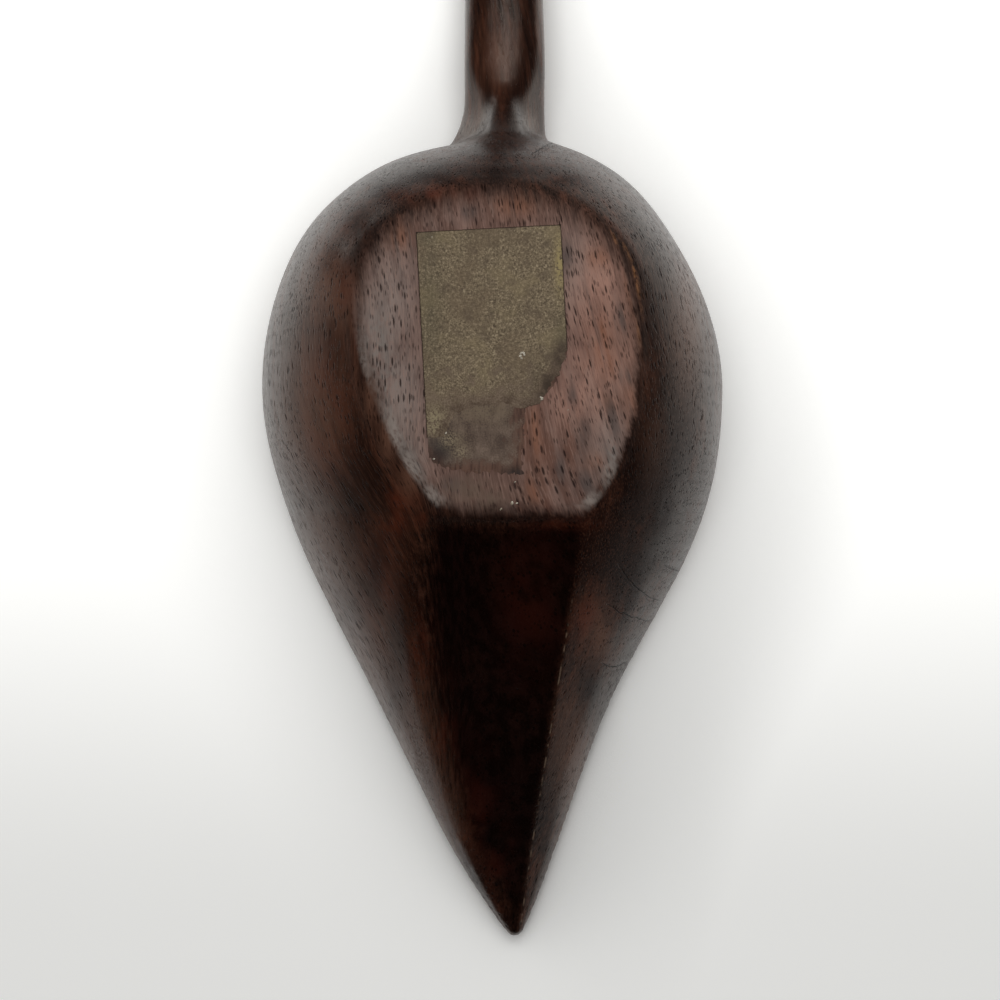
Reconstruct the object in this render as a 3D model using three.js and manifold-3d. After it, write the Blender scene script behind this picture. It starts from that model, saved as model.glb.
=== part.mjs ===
// A one-piece carved wooden scoop standing on its flat foot, with the torn
// remains of an old gummed paper label under the foot.
// Millimetres. +Z is up, +X runs toward the pointed spout, -X along the handle.
// The origin is the middle of the foot, on the surface that the scoop stands on.

import * as THREE from 'three';
import { mergeVertices } from 'three/addons/utils/BufferGeometryUtils.js';
import Module from 'manifold-3d';

const wasm = await Module();
wasm.setup();

// Label under the foot, a sheet on a film of dried glue
const LABEL_WIDTH = 25.4;
const LABEL_SHEET = 0.25;
const LABEL_FILM = 0.125;
const LABEL_CORNER_X = -20.65;
const LABEL_CORNER_Y = 13.5;
const LABEL_TURN = -3.0;

// Heights of the wood
const FOOT_Z = LABEL_SHEET + LABEL_FILM;
const BOWL_HEIGHT = 34.4;
const RIM_SHEER = 2.2;
const SHEER_MIDDLE = 30;

// Plan of the bowl: the neck, the widest place, the narrowing and the spout
const REAR_X = -41.6;
const LEFT_NECK = 7.0;
const RIGHT_NECK = 12.6;
const NECK_Y = -1.7;
const NECK_BULGE = 2.4;
const WIDEST_X = 5;
const LEFT_WIDTH = 44.4;
const RIGHT_WIDTH = 44.0;
const NARROWING_X = 61;
const LEFT_NARROWING = 24.6;
const RIGHT_NARROWING = 24.7;
const SPOUT_X = 110.3;
const SPOUT_Y = -4.0;
const SPOUT_HALF = 1.4;
const TIP_LENGTH = 0.6;
const TIP_HALF = 0.6;

// Foot, and the flat facet that runs from its front edge to the spout
const FOOT_REAR_X = -29.1;
const FOOT_SIDE_X = -8;
const LEFT_FOOT = 24.9;
const RIGHT_FOOT = 25.7;
const FOOT_FRONT_X = 28.9;
const LEFT_CORNER = 11;
const RIGHT_CORNER = 16;
const FACET_SETBACK = 0.8;
const FACET_HALF = 1.05;
const TIP_FACE = 2.6;

// Hollow
const RIM_WALL = 4.4;
const FLOOR_WALL = 8.0;
const FLOOR_SHARE = 0.34;
const FLOOR_REACH = 0.55;
const FLOOR_LEVEL_X = 14;
const TROUGH_END_X = 103;
const TROUGH_END_DEPTH = 2.0;
const TROUGH_END_WIDTH = 1.6;
const ABOVE_RIM = 30;

// Handle
const HANDLE_Y = -2.0;
const HANDLE_HALF = 8.3;
const HANDLE_THICK = 12.4;
const HANDLE_END_X = -164;
const HANDLE_RISE = 17;
const HANDLE_WAIST = 0.9;
const HANDLE_THINNING = 0.9;
const HANDLE_SWELL = 1.6;
const NECK_X = -50.5;
const NECK_FLARE = 2.6;
const NECK_START_X = -57;
const NECK_FULL_X = -47;
const HANDLE_ROOT_X = -31;
const END_LENGTH = 11;

// Web that carries the handle into the rear wall of the bowl
const WEB_START_X = -51.5;
const WEB_END_X = -34.5;
const WEB_LOW_Z = 7.5;
const WEB_INSIDE = 3.8;
const WEB_START_HALF = 1.0;
const WEB_END_HALF = 5.4;
const WEB_ROOF_HALF = 4.6;
const WEB_ROOF_SPREAD = 1.7;

// Number of steps along each surface
const WALL_STEPS = 9;
const HOLLOW_STEPS = 9;
const SPOUT_STEPS = 18;
const SIDE_STEPS = 7;
const REAR_STEPS = 17;
const ROOT_STEPS = 7;
const SHAFT_STEPS = 10;
const END_STEPS = 6;
const WEB_STEPS = 9;
const NECK_STEPS = 5;

// Share of the rear rim curve that lies behind the foot's widest place
const FOOT_MATCH = 0.68;

const curve = (...points) => new THREE.CubicBezierCurve(...points.map(([x, y]) => new THREE.Vector2(x, y)));
const mix = (a, b, t) => a + (b - a) * t;

// A curve between two points. leave and arrive place its two handles, as
// shares of the step across and the step up between the points.
function bow(start, end, leave, arrive) {
  const step = [end[0] - start[0], end[1] - start[1]];
  const first = [start[0] + leave[0] * step[0], start[1] + leave[1] * step[1]];
  const second = [end[0] - arrive[0] * step[0], end[1] - arrive[1] * step[1]];
  return curve(start, first, second, end);
}

// Outlines in plan. Each runs from the rear to the front.
const leftWidest = [WIDEST_X, LEFT_WIDTH];
const rightWidest = [WIDEST_X, -RIGHT_WIDTH];
const leftNarrowing = [NARROWING_X, LEFT_NARROWING];
const rightNarrowing = [NARROWING_X, -RIGHT_NARROWING];
const rimLeftRear = bow([REAR_X, LEFT_NECK], leftWidest, [0.074, 0.711], [0.485, 0]);
const rimRightRear = bow([REAR_X, -RIGHT_NECK], rightWidest, [0.115, 0.644], [0.293, 0]);
const rimLeft = [
  bow(leftWidest, leftNarrowing, [0.339, 0], [0.259, 0.38]),
  bow(leftNarrowing, [SPOUT_X, SPOUT_Y + SPOUT_HALF], [0.27, 0.257], [0.249, 0.375]),
];
const rimRight = [
  bow(rightWidest, rightNarrowing, [0.459, 0], [0.359, 0.536]),
  bow(rightNarrowing, [SPOUT_X, SPOUT_Y - SPOUT_HALF], [0.274, 0.363], [0.235, 0.306]),
];

const leftFoot = [FOOT_SIDE_X, LEFT_FOOT];
const rightFoot = [FOOT_SIDE_X, -RIGHT_FOOT];
const leftCorner = [FOOT_FRONT_X, LEFT_CORNER];
const rightCorner = [FOOT_FRONT_X, -RIGHT_CORNER];
const footLeftRear = bow([FOOT_REAR_X, 0], leftFoot, [0, 0.562], [0.569, 0]);
const footRightRear = bow([FOOT_REAR_X, 0], rightFoot, [0, 0.545], [0.569, 0]);
const facetLeft = [
  bow(leftFoot, leftCorner, [0.461, 0], [0.241, 0.54]),
  bow(leftCorner, [SPOUT_X, SPOUT_Y + FACET_HALF], [0.087, -0.75], [0.286, 1.071]),
];
const facetRight = [
  bow(rightFoot, rightCorner, [0.542, -0.082], [0.214, 0.722]),
  bow(rightCorner, [SPOUT_X, SPOUT_Y - FACET_HALF], [0.087, 0.009], [0.385, 0.312]),
];

// The second coordinate of a run of curves where the first one is x.
function across(curves, x) {
  const run = curves.find((part) => x <= part.v3.x) ?? curves[curves.length - 1];
  let low = 0;
  let high = 1;
  for (let i = 0; i < 40; i += 1) {
    const middle = (low + high) / 2;
    if (run.getPoint(middle).x < x) low = middle;
    else high = middle;
  }
  return run.getPoint((low + high) / 2).y;
}

function rimZ(x) {
  const lift = ((x - SHEER_MIDDLE) / (SPOUT_X - SHEER_MIDDLE)) ** 2;
  return FOOT_Z + BOWL_HEIGHT + RIM_SHEER * lift;
}

// Height of the facet, level under the foot and then one straight slope.
function facetZ(x) {
  if (x <= FOOT_FRONT_X) return FOOT_Z;
  const slope = (rimZ(SPOUT_X) - TIP_FACE - FOOT_Z) / (SPOUT_X - FOOT_FRONT_X);
  return FOOT_Z + (x - FOOT_FRONT_X) * slope;
}

// Builds a closed body from rings of equal length. It is capped at the first
// ring, and at the last one unless its two halves meet in a seam.
function skin(rings, seam = false) {
  const count = rings[0].length;
  const points = rings.flat();
  const faces = [];
  for (let r = 0; r + 1 < rings.length; r += 1) {
    for (let i = 0; i < count; i += 1) {
      const a = r * count + i;
      const b = r * count + ((i + 1) % count);
      faces.push(a, b, b + count, a, b + count, a + count);
    }
  }
  capRing(points, rings[0], 0, faces, true);
  if (!seam) capRing(points, rings[rings.length - 1], (rings.length - 1) * count, faces, false);
  const geometry = new THREE.BufferGeometry();
  geometry.setAttribute('position', new THREE.Float32BufferAttribute(points.flat(), 3));
  geometry.setIndex(faces);
  return solid(geometry);
}

function capRing(points, ring, start, faces, flip) {
  const middle = [0, 1, 2].map((axis) => ring.reduce((sum, p) => sum + p[axis], 0) / ring.length);
  const hub = points.length;
  points.push(middle);
  for (let i = 0; i < ring.length; i += 1) {
    const a = start + i;
    const b = start + ((i + 1) % ring.length);
    if (flip) faces.push(hub, b, a);
    else faces.push(hub, a, b);
  }
}

function solid(geometry) {
  const bare = geometry.clone();
  bare.deleteAttribute('normal');
  bare.deleteAttribute('uv');
  const merged = mergeVertices(bare, 1e-5);
  const vertProperties = new Float32Array(merged.attributes.position.array);
  const triVerts = withoutSlivers(merged.index.array);
  if (signedVolume(vertProperties, triVerts) < 0) triVerts.reverse();
  return new wasm.Manifold(new wasm.Mesh({ numProp: 3, vertProperties, triVerts }));
}

// Six times the volume, which is negative where the faces point inward.
function signedVolume(places, index) {
  const corner = (i) => new THREE.Vector3().fromArray(places, 3 * index[i]);
  let sum = 0;
  for (let i = 0; i < index.length; i += 3) sum += corner(i).dot(corner(i + 1).cross(corner(i + 2)));
  return sum;
}

function withoutSlivers(index) {
  const kept = [];
  for (let i = 0; i < index.length; i += 3) {
    const [a, b, c] = [index[i], index[i + 1], index[i + 2]];
    if (a !== b && b !== c && c !== a) kept.push(a, b, c);
  }
  return new Uint32Array(kept);
}

// Places along the bowl where a cross ring is made, from the spout to the rear.
// Each gives the rim and the facet edge of both sides.
function stations() {
  const list = [tipStation()];
  for (let i = 0; i <= SPOUT_STEPS; i += 1) {
    list.push(frontStation(mix(SPOUT_X, FOOT_FRONT_X, (i / SPOUT_STEPS) ** 1.2)));
  }
  for (let i = 1; i <= SIDE_STEPS; i += 1) list.push(frontStation(mix(FOOT_FRONT_X, WIDEST_X, i / SIDE_STEPS)));
  for (let i = REAR_STEPS - 1; i >= 0; i -= 1) list.push(rearStation(i / REAR_STEPS));
  for (let i = 1; i <= NECK_STEPS; i += 1) list.push(neckStation(i / NECK_STEPS));
  return list;
}

function tipStation() {
  const x = SPOUT_X + TIP_LENGTH;
  const back = x - FACET_SETBACK;
  const half = TIP_HALF * FACET_HALF / SPOUT_HALF;
  return {
    left: { rim: [x, SPOUT_Y + TIP_HALF], edge: [back, SPOUT_Y + half, facetZ(SPOUT_X)] },
    right: { rim: [x, SPOUT_Y - TIP_HALF], edge: [back, SPOUT_Y - half, facetZ(SPOUT_X)] },
  };
}

// Under the handle the rim bulges rearward, and the two sides meet in an upright line.
function neckStation(t) {
  const x = REAR_X - NECK_BULGE * (1 - (1 - t) ** 2);
  const edge = [FOOT_REAR_X, 0, FOOT_Z];
  return {
    left: { rim: [x, mix(LEFT_NECK, NECK_Y, t)], edge },
    right: { rim: [x, mix(-RIGHT_NECK, NECK_Y, t)], edge },
  };
}

function frontStation(x) {
  const setback = FACET_SETBACK * Math.max(0, (x - FOOT_FRONT_X) / (SPOUT_X - FOOT_FRONT_X));
  return {
    left: { rim: [x, across(rimLeft, x)], edge: [x - setback, across(facetLeft, x), facetZ(x)] },
    right: { rim: [x, across(rimRight, x)], edge: [x - setback, across(facetRight, x), facetZ(x)] },
  };
}

// Behind the widest place the rim and the foot are matched by their share of the way round.
function rearStation(t) {
  const side = (rim, rear, front, footShare) => {
    const [rimX, rimY] = rim.getPoint(t).toArray();
    if (footShare >= 1) {
      const x = mix(FOOT_SIDE_X, WIDEST_X, (t - FOOT_MATCH) / (1 - FOOT_MATCH));
      return { rim: [rimX, rimY], edge: [x, across(front, x), FOOT_Z] };
    }
    const [x, y] = rear.getPoint(footShare).toArray();
    return { rim: [rimX, rimY], edge: [x, y, FOOT_Z] };
  };
  const footShare = t / FOOT_MATCH;
  return {
    left: side(rimLeftRear, footLeftRear, facetLeft, footShare),
    right: side(rimRightRear, footRightRear, facetRight, footShare),
  };
}

// Wall of the bowl between the facet edge and the rim: it leaves the foot at a
// low angle and ends upright, and beside the spout it is flatter.
function wallPoint(edge, rim, t) {
  const front = THREE.MathUtils.smoothstep(edge[0], WIDEST_X + 5, NARROWING_X);
  const reach = [mix(0.62, 0.42, front), mix(1.0, 0.84, front)];
  const climb = [mix(0.15, 0.27, front), mix(0.56, 0.66, front)];
  const [share, lift] = curve([0, 0], [reach[0], climb[0]], [reach[1], climb[1]], [1, 1]).getPoint(t).toArray();
  return [mix(edge[0], rim[0], share), mix(edge[1], rim[1], share), mix(edge[2], rimZ(rim[0]), lift)];
}

function bowlBlock() {
  const rings = stations().map(({ left, right }) => {
    const ring = [];
    for (let i = WALL_STEPS; i >= 0; i -= 1) ring.push(wallPoint(left.edge, left.rim, i / WALL_STEPS));
    for (let i = 0; i <= WALL_STEPS; i += 1) ring.push(wallPoint(right.edge, right.rim, i / WALL_STEPS));
    return ring;
  });
  return skin(rings, true);
}

// Floor of the hollow seen from the side, level over the foot and then
// climbing toward the spout.
const floorLine = bow(
  [FLOOR_LEVEL_X, FOOT_Z + FLOOR_WALL],
  [TROUGH_END_X, rimZ(TROUGH_END_X) - TROUGH_END_DEPTH],
  [0.225, 0],
  [0.573, 0.693],
);

function floorZ(x) {
  return x <= FLOOR_LEVEL_X ? FOOT_Z + FLOOR_WALL : across([floorLine], x);
}

// Rim of the hollow, the outer rim moved inward by the thickness of the wall.
// The side is 1 on the left and -1 on the right.
function hollowRim(rims, side) {
  return rims.map((point, i) => {
    const before = rims[Math.max(i - 1, 0)];
    const after = rims[Math.min(i + 1, rims.length - 1)];
    const run = new THREE.Vector2(after[0] - before[0], after[1] - before[1]).normalize();
    if (i === rims.length - 1) return [point[0] + RIM_WALL, point[1]];
    return [point[0] - side * run.y * RIM_WALL, point[1] + side * run.x * RIM_WALL];
  });
}

function hollow() {
  const places = stations().slice(1);
  const left = hollowRim(places.map((place) => place.left.rim), 1);
  const right = hollowRim(places.map((place) => place.right.rim), -1);
  const rings = [];
  left.forEach((rimLeftIn, k) => {
    const rimRightIn = right[k];
    if (rimLeftIn[0] > WIDEST_X && rimLeftIn[1] - rimRightIn[1] < TROUGH_END_WIDTH) return;
    const middle = (rimLeftIn[1] + rimRightIn[1]) / 2;
    const ring = [];
    for (let i = HOLLOW_STEPS; i >= 0; i -= 1) ring.push(hollowPoint(rimLeftIn, middle, i / HOLLOW_STEPS));
    for (let i = 0; i <= HOLLOW_STEPS; i += 1) ring.push(hollowPoint(rimRightIn, middle, i / HOLLOW_STEPS));
    ring.push([rimRightIn[0], rimRightIn[1], rimZ(0) + ABOVE_RIM]);
    ring.unshift([rimLeftIn[0], rimLeftIn[1], rimZ(0) + ABOVE_RIM]);
    rings.push(ring);
  });
  return skin(rings, true);
}

function hollowPoint(rim, middle, t) {
  const x = rim[0] < WIDEST_X ? mix(WIDEST_X, rim[0], FLOOR_REACH) : rim[0];
  const y = mix(middle, rim[1], FLOOR_SHARE);
  const front = THREE.MathUtils.smoothstep(rim[0], WIDEST_X, 0.8 * NARROWING_X);
  const reach = [mix(0.75, 0.5, front), mix(1, 0.9, front)];
  const climb = [mix(0, 0.06, front), mix(0.4, 0.6, front)];
  const [share, lift] = curve([0, 0], [reach[0], climb[0]], [reach[1], climb[1]], [1, 1]).getPoint(t).toArray();
  return [mix(x, rim[0], share), mix(y, rim[1], share), mix(floorZ(x), rimZ(rim[0]), lift)];
}

// Cross-section of the handle in shares of its half width and its thickness:
// a nearly flat underside, a bevel on each side and a softly rounded top.
const HANDLE_SECTION = [
  [-0.5, 0.02], [0, 0], [0.5, 0.02], [0.82, 0.12], [0.96, 0.28], [1, 0.46], [1, 0.62], [0.93, 0.79], [0.74, 0.92],
  [0.42, 0.985], [0, 1], [-0.42, 0.985], [-0.74, 0.92], [-0.93, 0.79], [-1, 0.62], [-1, 0.46], [-0.96, 0.28],
  [-0.82, 0.12],
];

// The same at the neck, where the underside is a narrow crest between steep sides.
const NECK_SECTION = [
  [-0.28, 0.01], [0, 0], [0.28, 0.01], [0.45, 0.12], [0.8, 0.44], [0.96, 0.62], [1, 0.72], [0.93, 0.82], [0.74, 0.92],
  [0.42, 0.985], [0, 1], [-0.42, 0.985], [-0.74, 0.92], [-0.93, 0.82], [-1, 0.72], [-0.96, 0.62], [-0.8, 0.44],
  [-0.45, 0.12],
];

// The rounded end is a quarter turn, which close follows from 1 down to 0.
function handleShape(x, close = 1) {
  const run = THREE.MathUtils.clamp((REAR_X - x) / (REAR_X - HANDLE_END_X), 0, 1);
  const flare = NECK_FLARE * Math.max(0, (x - NECK_X) / (REAR_X - NECK_X)) ** 2;
  const waist = HANDLE_WAIST * Math.sin(Math.PI * Math.min(run * 1.6, 1));
  const half = HANDLE_HALF - waist + HANDLE_SWELL * run ** 3;
  const thick = (HANDLE_THICK - HANDLE_THINNING * Math.sin(Math.PI * run)) * mix(0.2, 1, close);
  const top = rimZ(REAR_X) + HANDLE_RISE * run ** 1.5 - (HANDLE_THICK - thick) / 2;
  const width = Math.max(close, 0.12);
  return { left: (half + flare) * width, right: half * width, thick, top };
}

function handleRing(x, close) {
  const { left, right, thick, top } = handleShape(x, close);
  const neck = THREE.MathUtils.smoothstep(x, NECK_START_X, NECK_FULL_X);
  return HANDLE_SECTION.map((point, i) => {
    const side = mix(point[0], NECK_SECTION[i][0], neck);
    const height = mix(point[1], NECK_SECTION[i][1], neck);
    const y = HANDLE_Y + side * (side > 0 ? left : right);
    return [x, y, top - thick + height * thick];
  });
}

function handle() {
  const endStart = HANDLE_END_X + END_LENGTH;
  const rings = [];
  for (let i = 0; i < ROOT_STEPS; i += 1) rings.push(handleRing(mix(HANDLE_ROOT_X, NECK_X, i / ROOT_STEPS)));
  for (let i = 0; i < SHAFT_STEPS; i += 1) rings.push(handleRing(mix(NECK_X, endStart, i / SHAFT_STEPS)));
  for (let i = 0; i <= END_STEPS; i += 1) {
    const angle = (i / END_STEPS) * Math.PI / 2;
    rings.push(handleRing(endStart - END_LENGTH * Math.sin(angle), Math.cos(angle)));
  }
  return skin(rings);
}

// The web is narrow where it leaves the handle and broad where it meets the bowl.
function web() {
  const under = rimZ(REAR_X) - HANDLE_THICK + 0.3;
  const line = bow([WEB_START_X, under], [WEB_END_X, WEB_LOW_Z], [0.36, 0.13], [0.294, 0.643]);
  const roof = under + WEB_INSIDE;
  const rings = [];
  for (let i = WEB_STEPS; i >= 0; i -= 1) {
    const t = i / WEB_STEPS;
    const [x, z] = line.getPoint(t).toArray();
    const low = mix(WEB_START_HALF, WEB_END_HALF, t);
    const high = WEB_ROOF_HALF + WEB_ROOF_SPREAD * t;
    const half = mix(low, high, 0.3);
    const middle = mix(z, roof, 0.5);
    rings.push([
      [x, HANDLE_Y - low, z], [x, HANDLE_Y + low, z], [x, HANDLE_Y + half, middle],
      [x, HANDLE_Y + high, roof], [x, HANDLE_Y - high, roof], [x, HANDLE_Y - half, middle],
    ]);
  }
  return skin(rings);
}

// Label outlines. The first number runs along the label from its rear edge,
// the second across it from its left edge, both in label widths.
const TORN_CORNER = [[0.866, 1], [1.035, 0.94], [1.15, 0.85], [1.224, 0.79], [1.252, 0.689]];
const SHEET_TEAR = [[1.22, 0.378], [1.252, 0.2], [1.421, 0.134], [1.421, 0]];
const FILM_TEAR = [[1.469, 0.669], [1.705, 0.657], [1.673, 0.252], [1.634, 0.114], [1.559, 0.008]];

function labelShape(tear) {
  const turn = THREE.MathUtils.degToRad(LABEL_TURN);
  const outline = [[0, 0], [0, 1], ...TORN_CORNER, ...tear];
  const points = outline.map(([along, over]) => {
    const p = new THREE.Vector2(along, -over).multiplyScalar(LABEL_WIDTH);
    p.rotateAround(new THREE.Vector2(), turn);
    return new THREE.Vector2(p.x + LABEL_CORNER_X, p.y + LABEL_CORNER_Y);
  });
  return new THREE.Shape(points);
}

function layer(tear, thickness) {
  return new THREE.ExtrudeGeometry(labelShape(tear), { depth: thickness, bevelEnabled: false });
}

function fromManifold(body) {
  const mesh = body.getMesh();
  const geometry = new THREE.BufferGeometry();
  geometry.setAttribute('position', new THREE.BufferAttribute(new Float32Array(mesh.vertProperties), 3));
  geometry.setIndex(new THREE.BufferAttribute(new Uint32Array(mesh.triVerts), 1));
  geometry.computeVertexNormals();
  return geometry;
}

function named(name, geometry, looks) {
  const mesh = new THREE.Mesh(geometry, new THREE.MeshStandardMaterial(looks));
  mesh.name = name;
  return mesh;
}

const scoop = new THREE.Group();

const wood = bowlBlock().add(handle()).add(web()).subtract(hollow());
scoop.add(named('scoop_body', fromManifold(wood), { color: 0x3d2219, roughness: 0.42, metalness: 0 }));

const film = named('label_glue', layer(FILM_TEAR, LABEL_FILM), { color: 0x55463d, roughness: 0.55, metalness: 0 });
film.position.z = LABEL_SHEET;
scoop.add(film);

scoop.add(named('label_sheet', layer(SHEET_TEAR, LABEL_SHEET), { color: 0x6a5c4b, roughness: 0.9, metalness: 0 }));

export default scoop;
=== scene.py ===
"""The looks of a carved wooden scoop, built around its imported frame.

The scoop stands on its foot, +Z up and +X toward the spout. The photograph
looks straight up at the underside, so the camera is below the foot.
Sizes are in millimetres until a mesh is made, where MM turns them into metres.
"""
import math
from collections import Counter

import bmesh
import bpy
import numpy as np
from mathutils import Matrix, Vector
from mathutils.geometry import delaunay_2d_cdt


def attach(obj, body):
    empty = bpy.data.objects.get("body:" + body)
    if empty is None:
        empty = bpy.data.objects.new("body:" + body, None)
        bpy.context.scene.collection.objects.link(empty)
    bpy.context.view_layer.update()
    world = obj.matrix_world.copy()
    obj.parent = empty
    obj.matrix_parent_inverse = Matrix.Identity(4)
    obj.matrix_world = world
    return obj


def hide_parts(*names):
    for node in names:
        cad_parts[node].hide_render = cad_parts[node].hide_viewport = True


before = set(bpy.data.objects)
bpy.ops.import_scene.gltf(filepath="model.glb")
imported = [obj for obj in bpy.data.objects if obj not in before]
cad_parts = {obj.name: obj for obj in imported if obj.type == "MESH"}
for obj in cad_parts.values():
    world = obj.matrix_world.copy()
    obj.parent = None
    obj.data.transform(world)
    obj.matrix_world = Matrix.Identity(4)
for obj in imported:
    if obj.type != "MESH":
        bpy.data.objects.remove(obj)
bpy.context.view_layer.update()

MM = 0.001

# Camera of the photograph: a pinhole below the foot, looking up
IMAGE_SIZE = 1000
FOCAL_PIXELS = 1886
CAMERA_X = 26.25
CAMERA_Y = -1.2
CAMERA_DROP = 330
SENSOR_WIDTH = 36

# Wood, the same sizes as the solids have
FOOT_Z = 0.375
BOWL_HEIGHT = 34.4
RIM_SHEER = 2.2
SHEER_MIDDLE = 30
REAR_X = -41.6
LEFT_NECK = 7.0
RIGHT_NECK = 12.6
NECK_Y = -1.7
NECK_BULGE = 2.4
WIDEST_X = 5
LEFT_WIDTH = 44.4
RIGHT_WIDTH = 44.0
NARROWING_X = 61
LEFT_NARROWING = 24.6
RIGHT_NARROWING = 24.7
SPOUT_X = 110.3
SPOUT_Y = -4.0
SPOUT_HALF = 1.4
TIP_LENGTH = 0.6
TIP_HALF = 0.6
FOOT_REAR_X = -29.1
FOOT_SIDE_X = -8
LEFT_FOOT = 24.9
RIGHT_FOOT = 25.7
FOOT_FRONT_X = 28.9
LEFT_CORNER = 11
RIGHT_CORNER = 16
FACET_SETBACK = 0.8
FACET_HALF = 1.05
TIP_FACE = 2.6
RIM_WALL = 4.4
FLOOR_WALL = 8.0
FLOOR_SHARE = 0.34
FLOOR_REACH = 0.55
FLOOR_LEVEL_X = 14
TROUGH_END_X = 103
TROUGH_END_DEPTH = 2.0
TROUGH_END_WIDTH = 1.6
ABOVE_RIM = 30
HANDLE_Y = -2.0
HANDLE_HALF = 8.3
HANDLE_THICK = 12.4
HANDLE_END_X = -164
HANDLE_RISE = 17
HANDLE_WAIST = 0.9
HANDLE_THINNING = 0.9
HANDLE_SWELL = 1.6
RISE_POWER = 1.5
WAIST_PACE = 1.6
END_THICKNESS = 0.2
END_WIDTH = 0.12
NECK_X = -50.5
NECK_FLARE = 2.6
NECK_START_X = -57
NECK_FULL_X = -47
HANDLE_ROOT_X = -31
END_LENGTH = 11
WEB_START_X = -51.5
WEB_END_X = -34.5
WEB_LOW_Z = 7.5
WEB_INSIDE = 3.8
WEB_OVERLAP = 0.3
WEB_START_HALF = 1.0
WEB_END_HALF = 5.4
WEB_ROOF_HALF = 4.6
WEB_ROOF_SPREAD = 1.7
WEB_SPREAD = 0.3
FOOT_MATCH = 0.68

# Forms of the walls from the foot or floor up to the rim: the two handles of a
# curve, each by its share of the way out and of the way up
WALL_REAR = ((0.62, 0.15), (1.0, 0.56))
WALL_AHEAD = ((0.42, 0.27), (0.84, 0.66))
HOLLOW_REAR = ((0.75, 0), (1, 0.4))
HOLLOW_AHEAD = ((0.5, 0.06), (0.9, 0.6))

# Steps along the surfaces, finer than in the solids
WALL_STEPS = 30
SPOUT_STEPS = 70
SPOUT_PACE = 1.2
SIDE_STEPS = 22
REAR_STEPS = 64
ROOT_STEPS = 24
SHAFT_STEPS = 60
END_STEPS = 16
WEB_STEPS = 24
NECK_STEPS = 8
VOXEL = 0.69
CURVE_SAMPLES = 800
WELD = 0.005


def mix(a, b, t):
    return a + (b - a) * t


def smoothstep(x, low, high):
    t = min(max((x - low) / (high - low), 0.0), 1.0)
    return t * t * (3 - 2 * t)


class Curve:
    """A cubic curve in a plane, from its two ends and two handles."""

    def __init__(self, start, end, leave, arrive):
        step = (end[0] - start[0], end[1] - start[1])
        first = (start[0] + leave[0] * step[0], start[1] + leave[1] * step[1])
        second = (end[0] - arrive[0] * step[0], end[1] - arrive[1] * step[1])
        self.corners = np.array([start, first, second, end], float)
        self.table = self.points(np.linspace(0, 1, CURVE_SAMPLES))

    def points(self, t):
        t = np.asarray(t, float)[..., None]
        a, b, c, d = self.corners
        return (1 - t) ** 3 * a + 3 * (1 - t) ** 2 * t * b + 3 * (1 - t) * t * t * c + t**3 * d

    def at(self, t):
        return tuple(self.points(t))

    def across(self, x):
        return float(np.interp(x, self.table[:, 0], self.table[:, 1]))


def across(runs, x):
    """The second coordinate, where the first is x, of curves that follow each other."""
    for run in runs:
        if x <= run.corners[3][0]:
            return run.across(x)
    return runs[-1].across(x)


def rim_z(x):
    lift = ((x - SHEER_MIDDLE) / (SPOUT_X - SHEER_MIDDLE)) ** 2
    return FOOT_Z + BOWL_HEIGHT + RIM_SHEER * lift


def facet_z(x):
    slope = (rim_z(SPOUT_X) - TIP_FACE - FOOT_Z) / (SPOUT_X - FOOT_FRONT_X)
    return FOOT_Z + max(0.0, x - FOOT_FRONT_X) * slope


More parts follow.
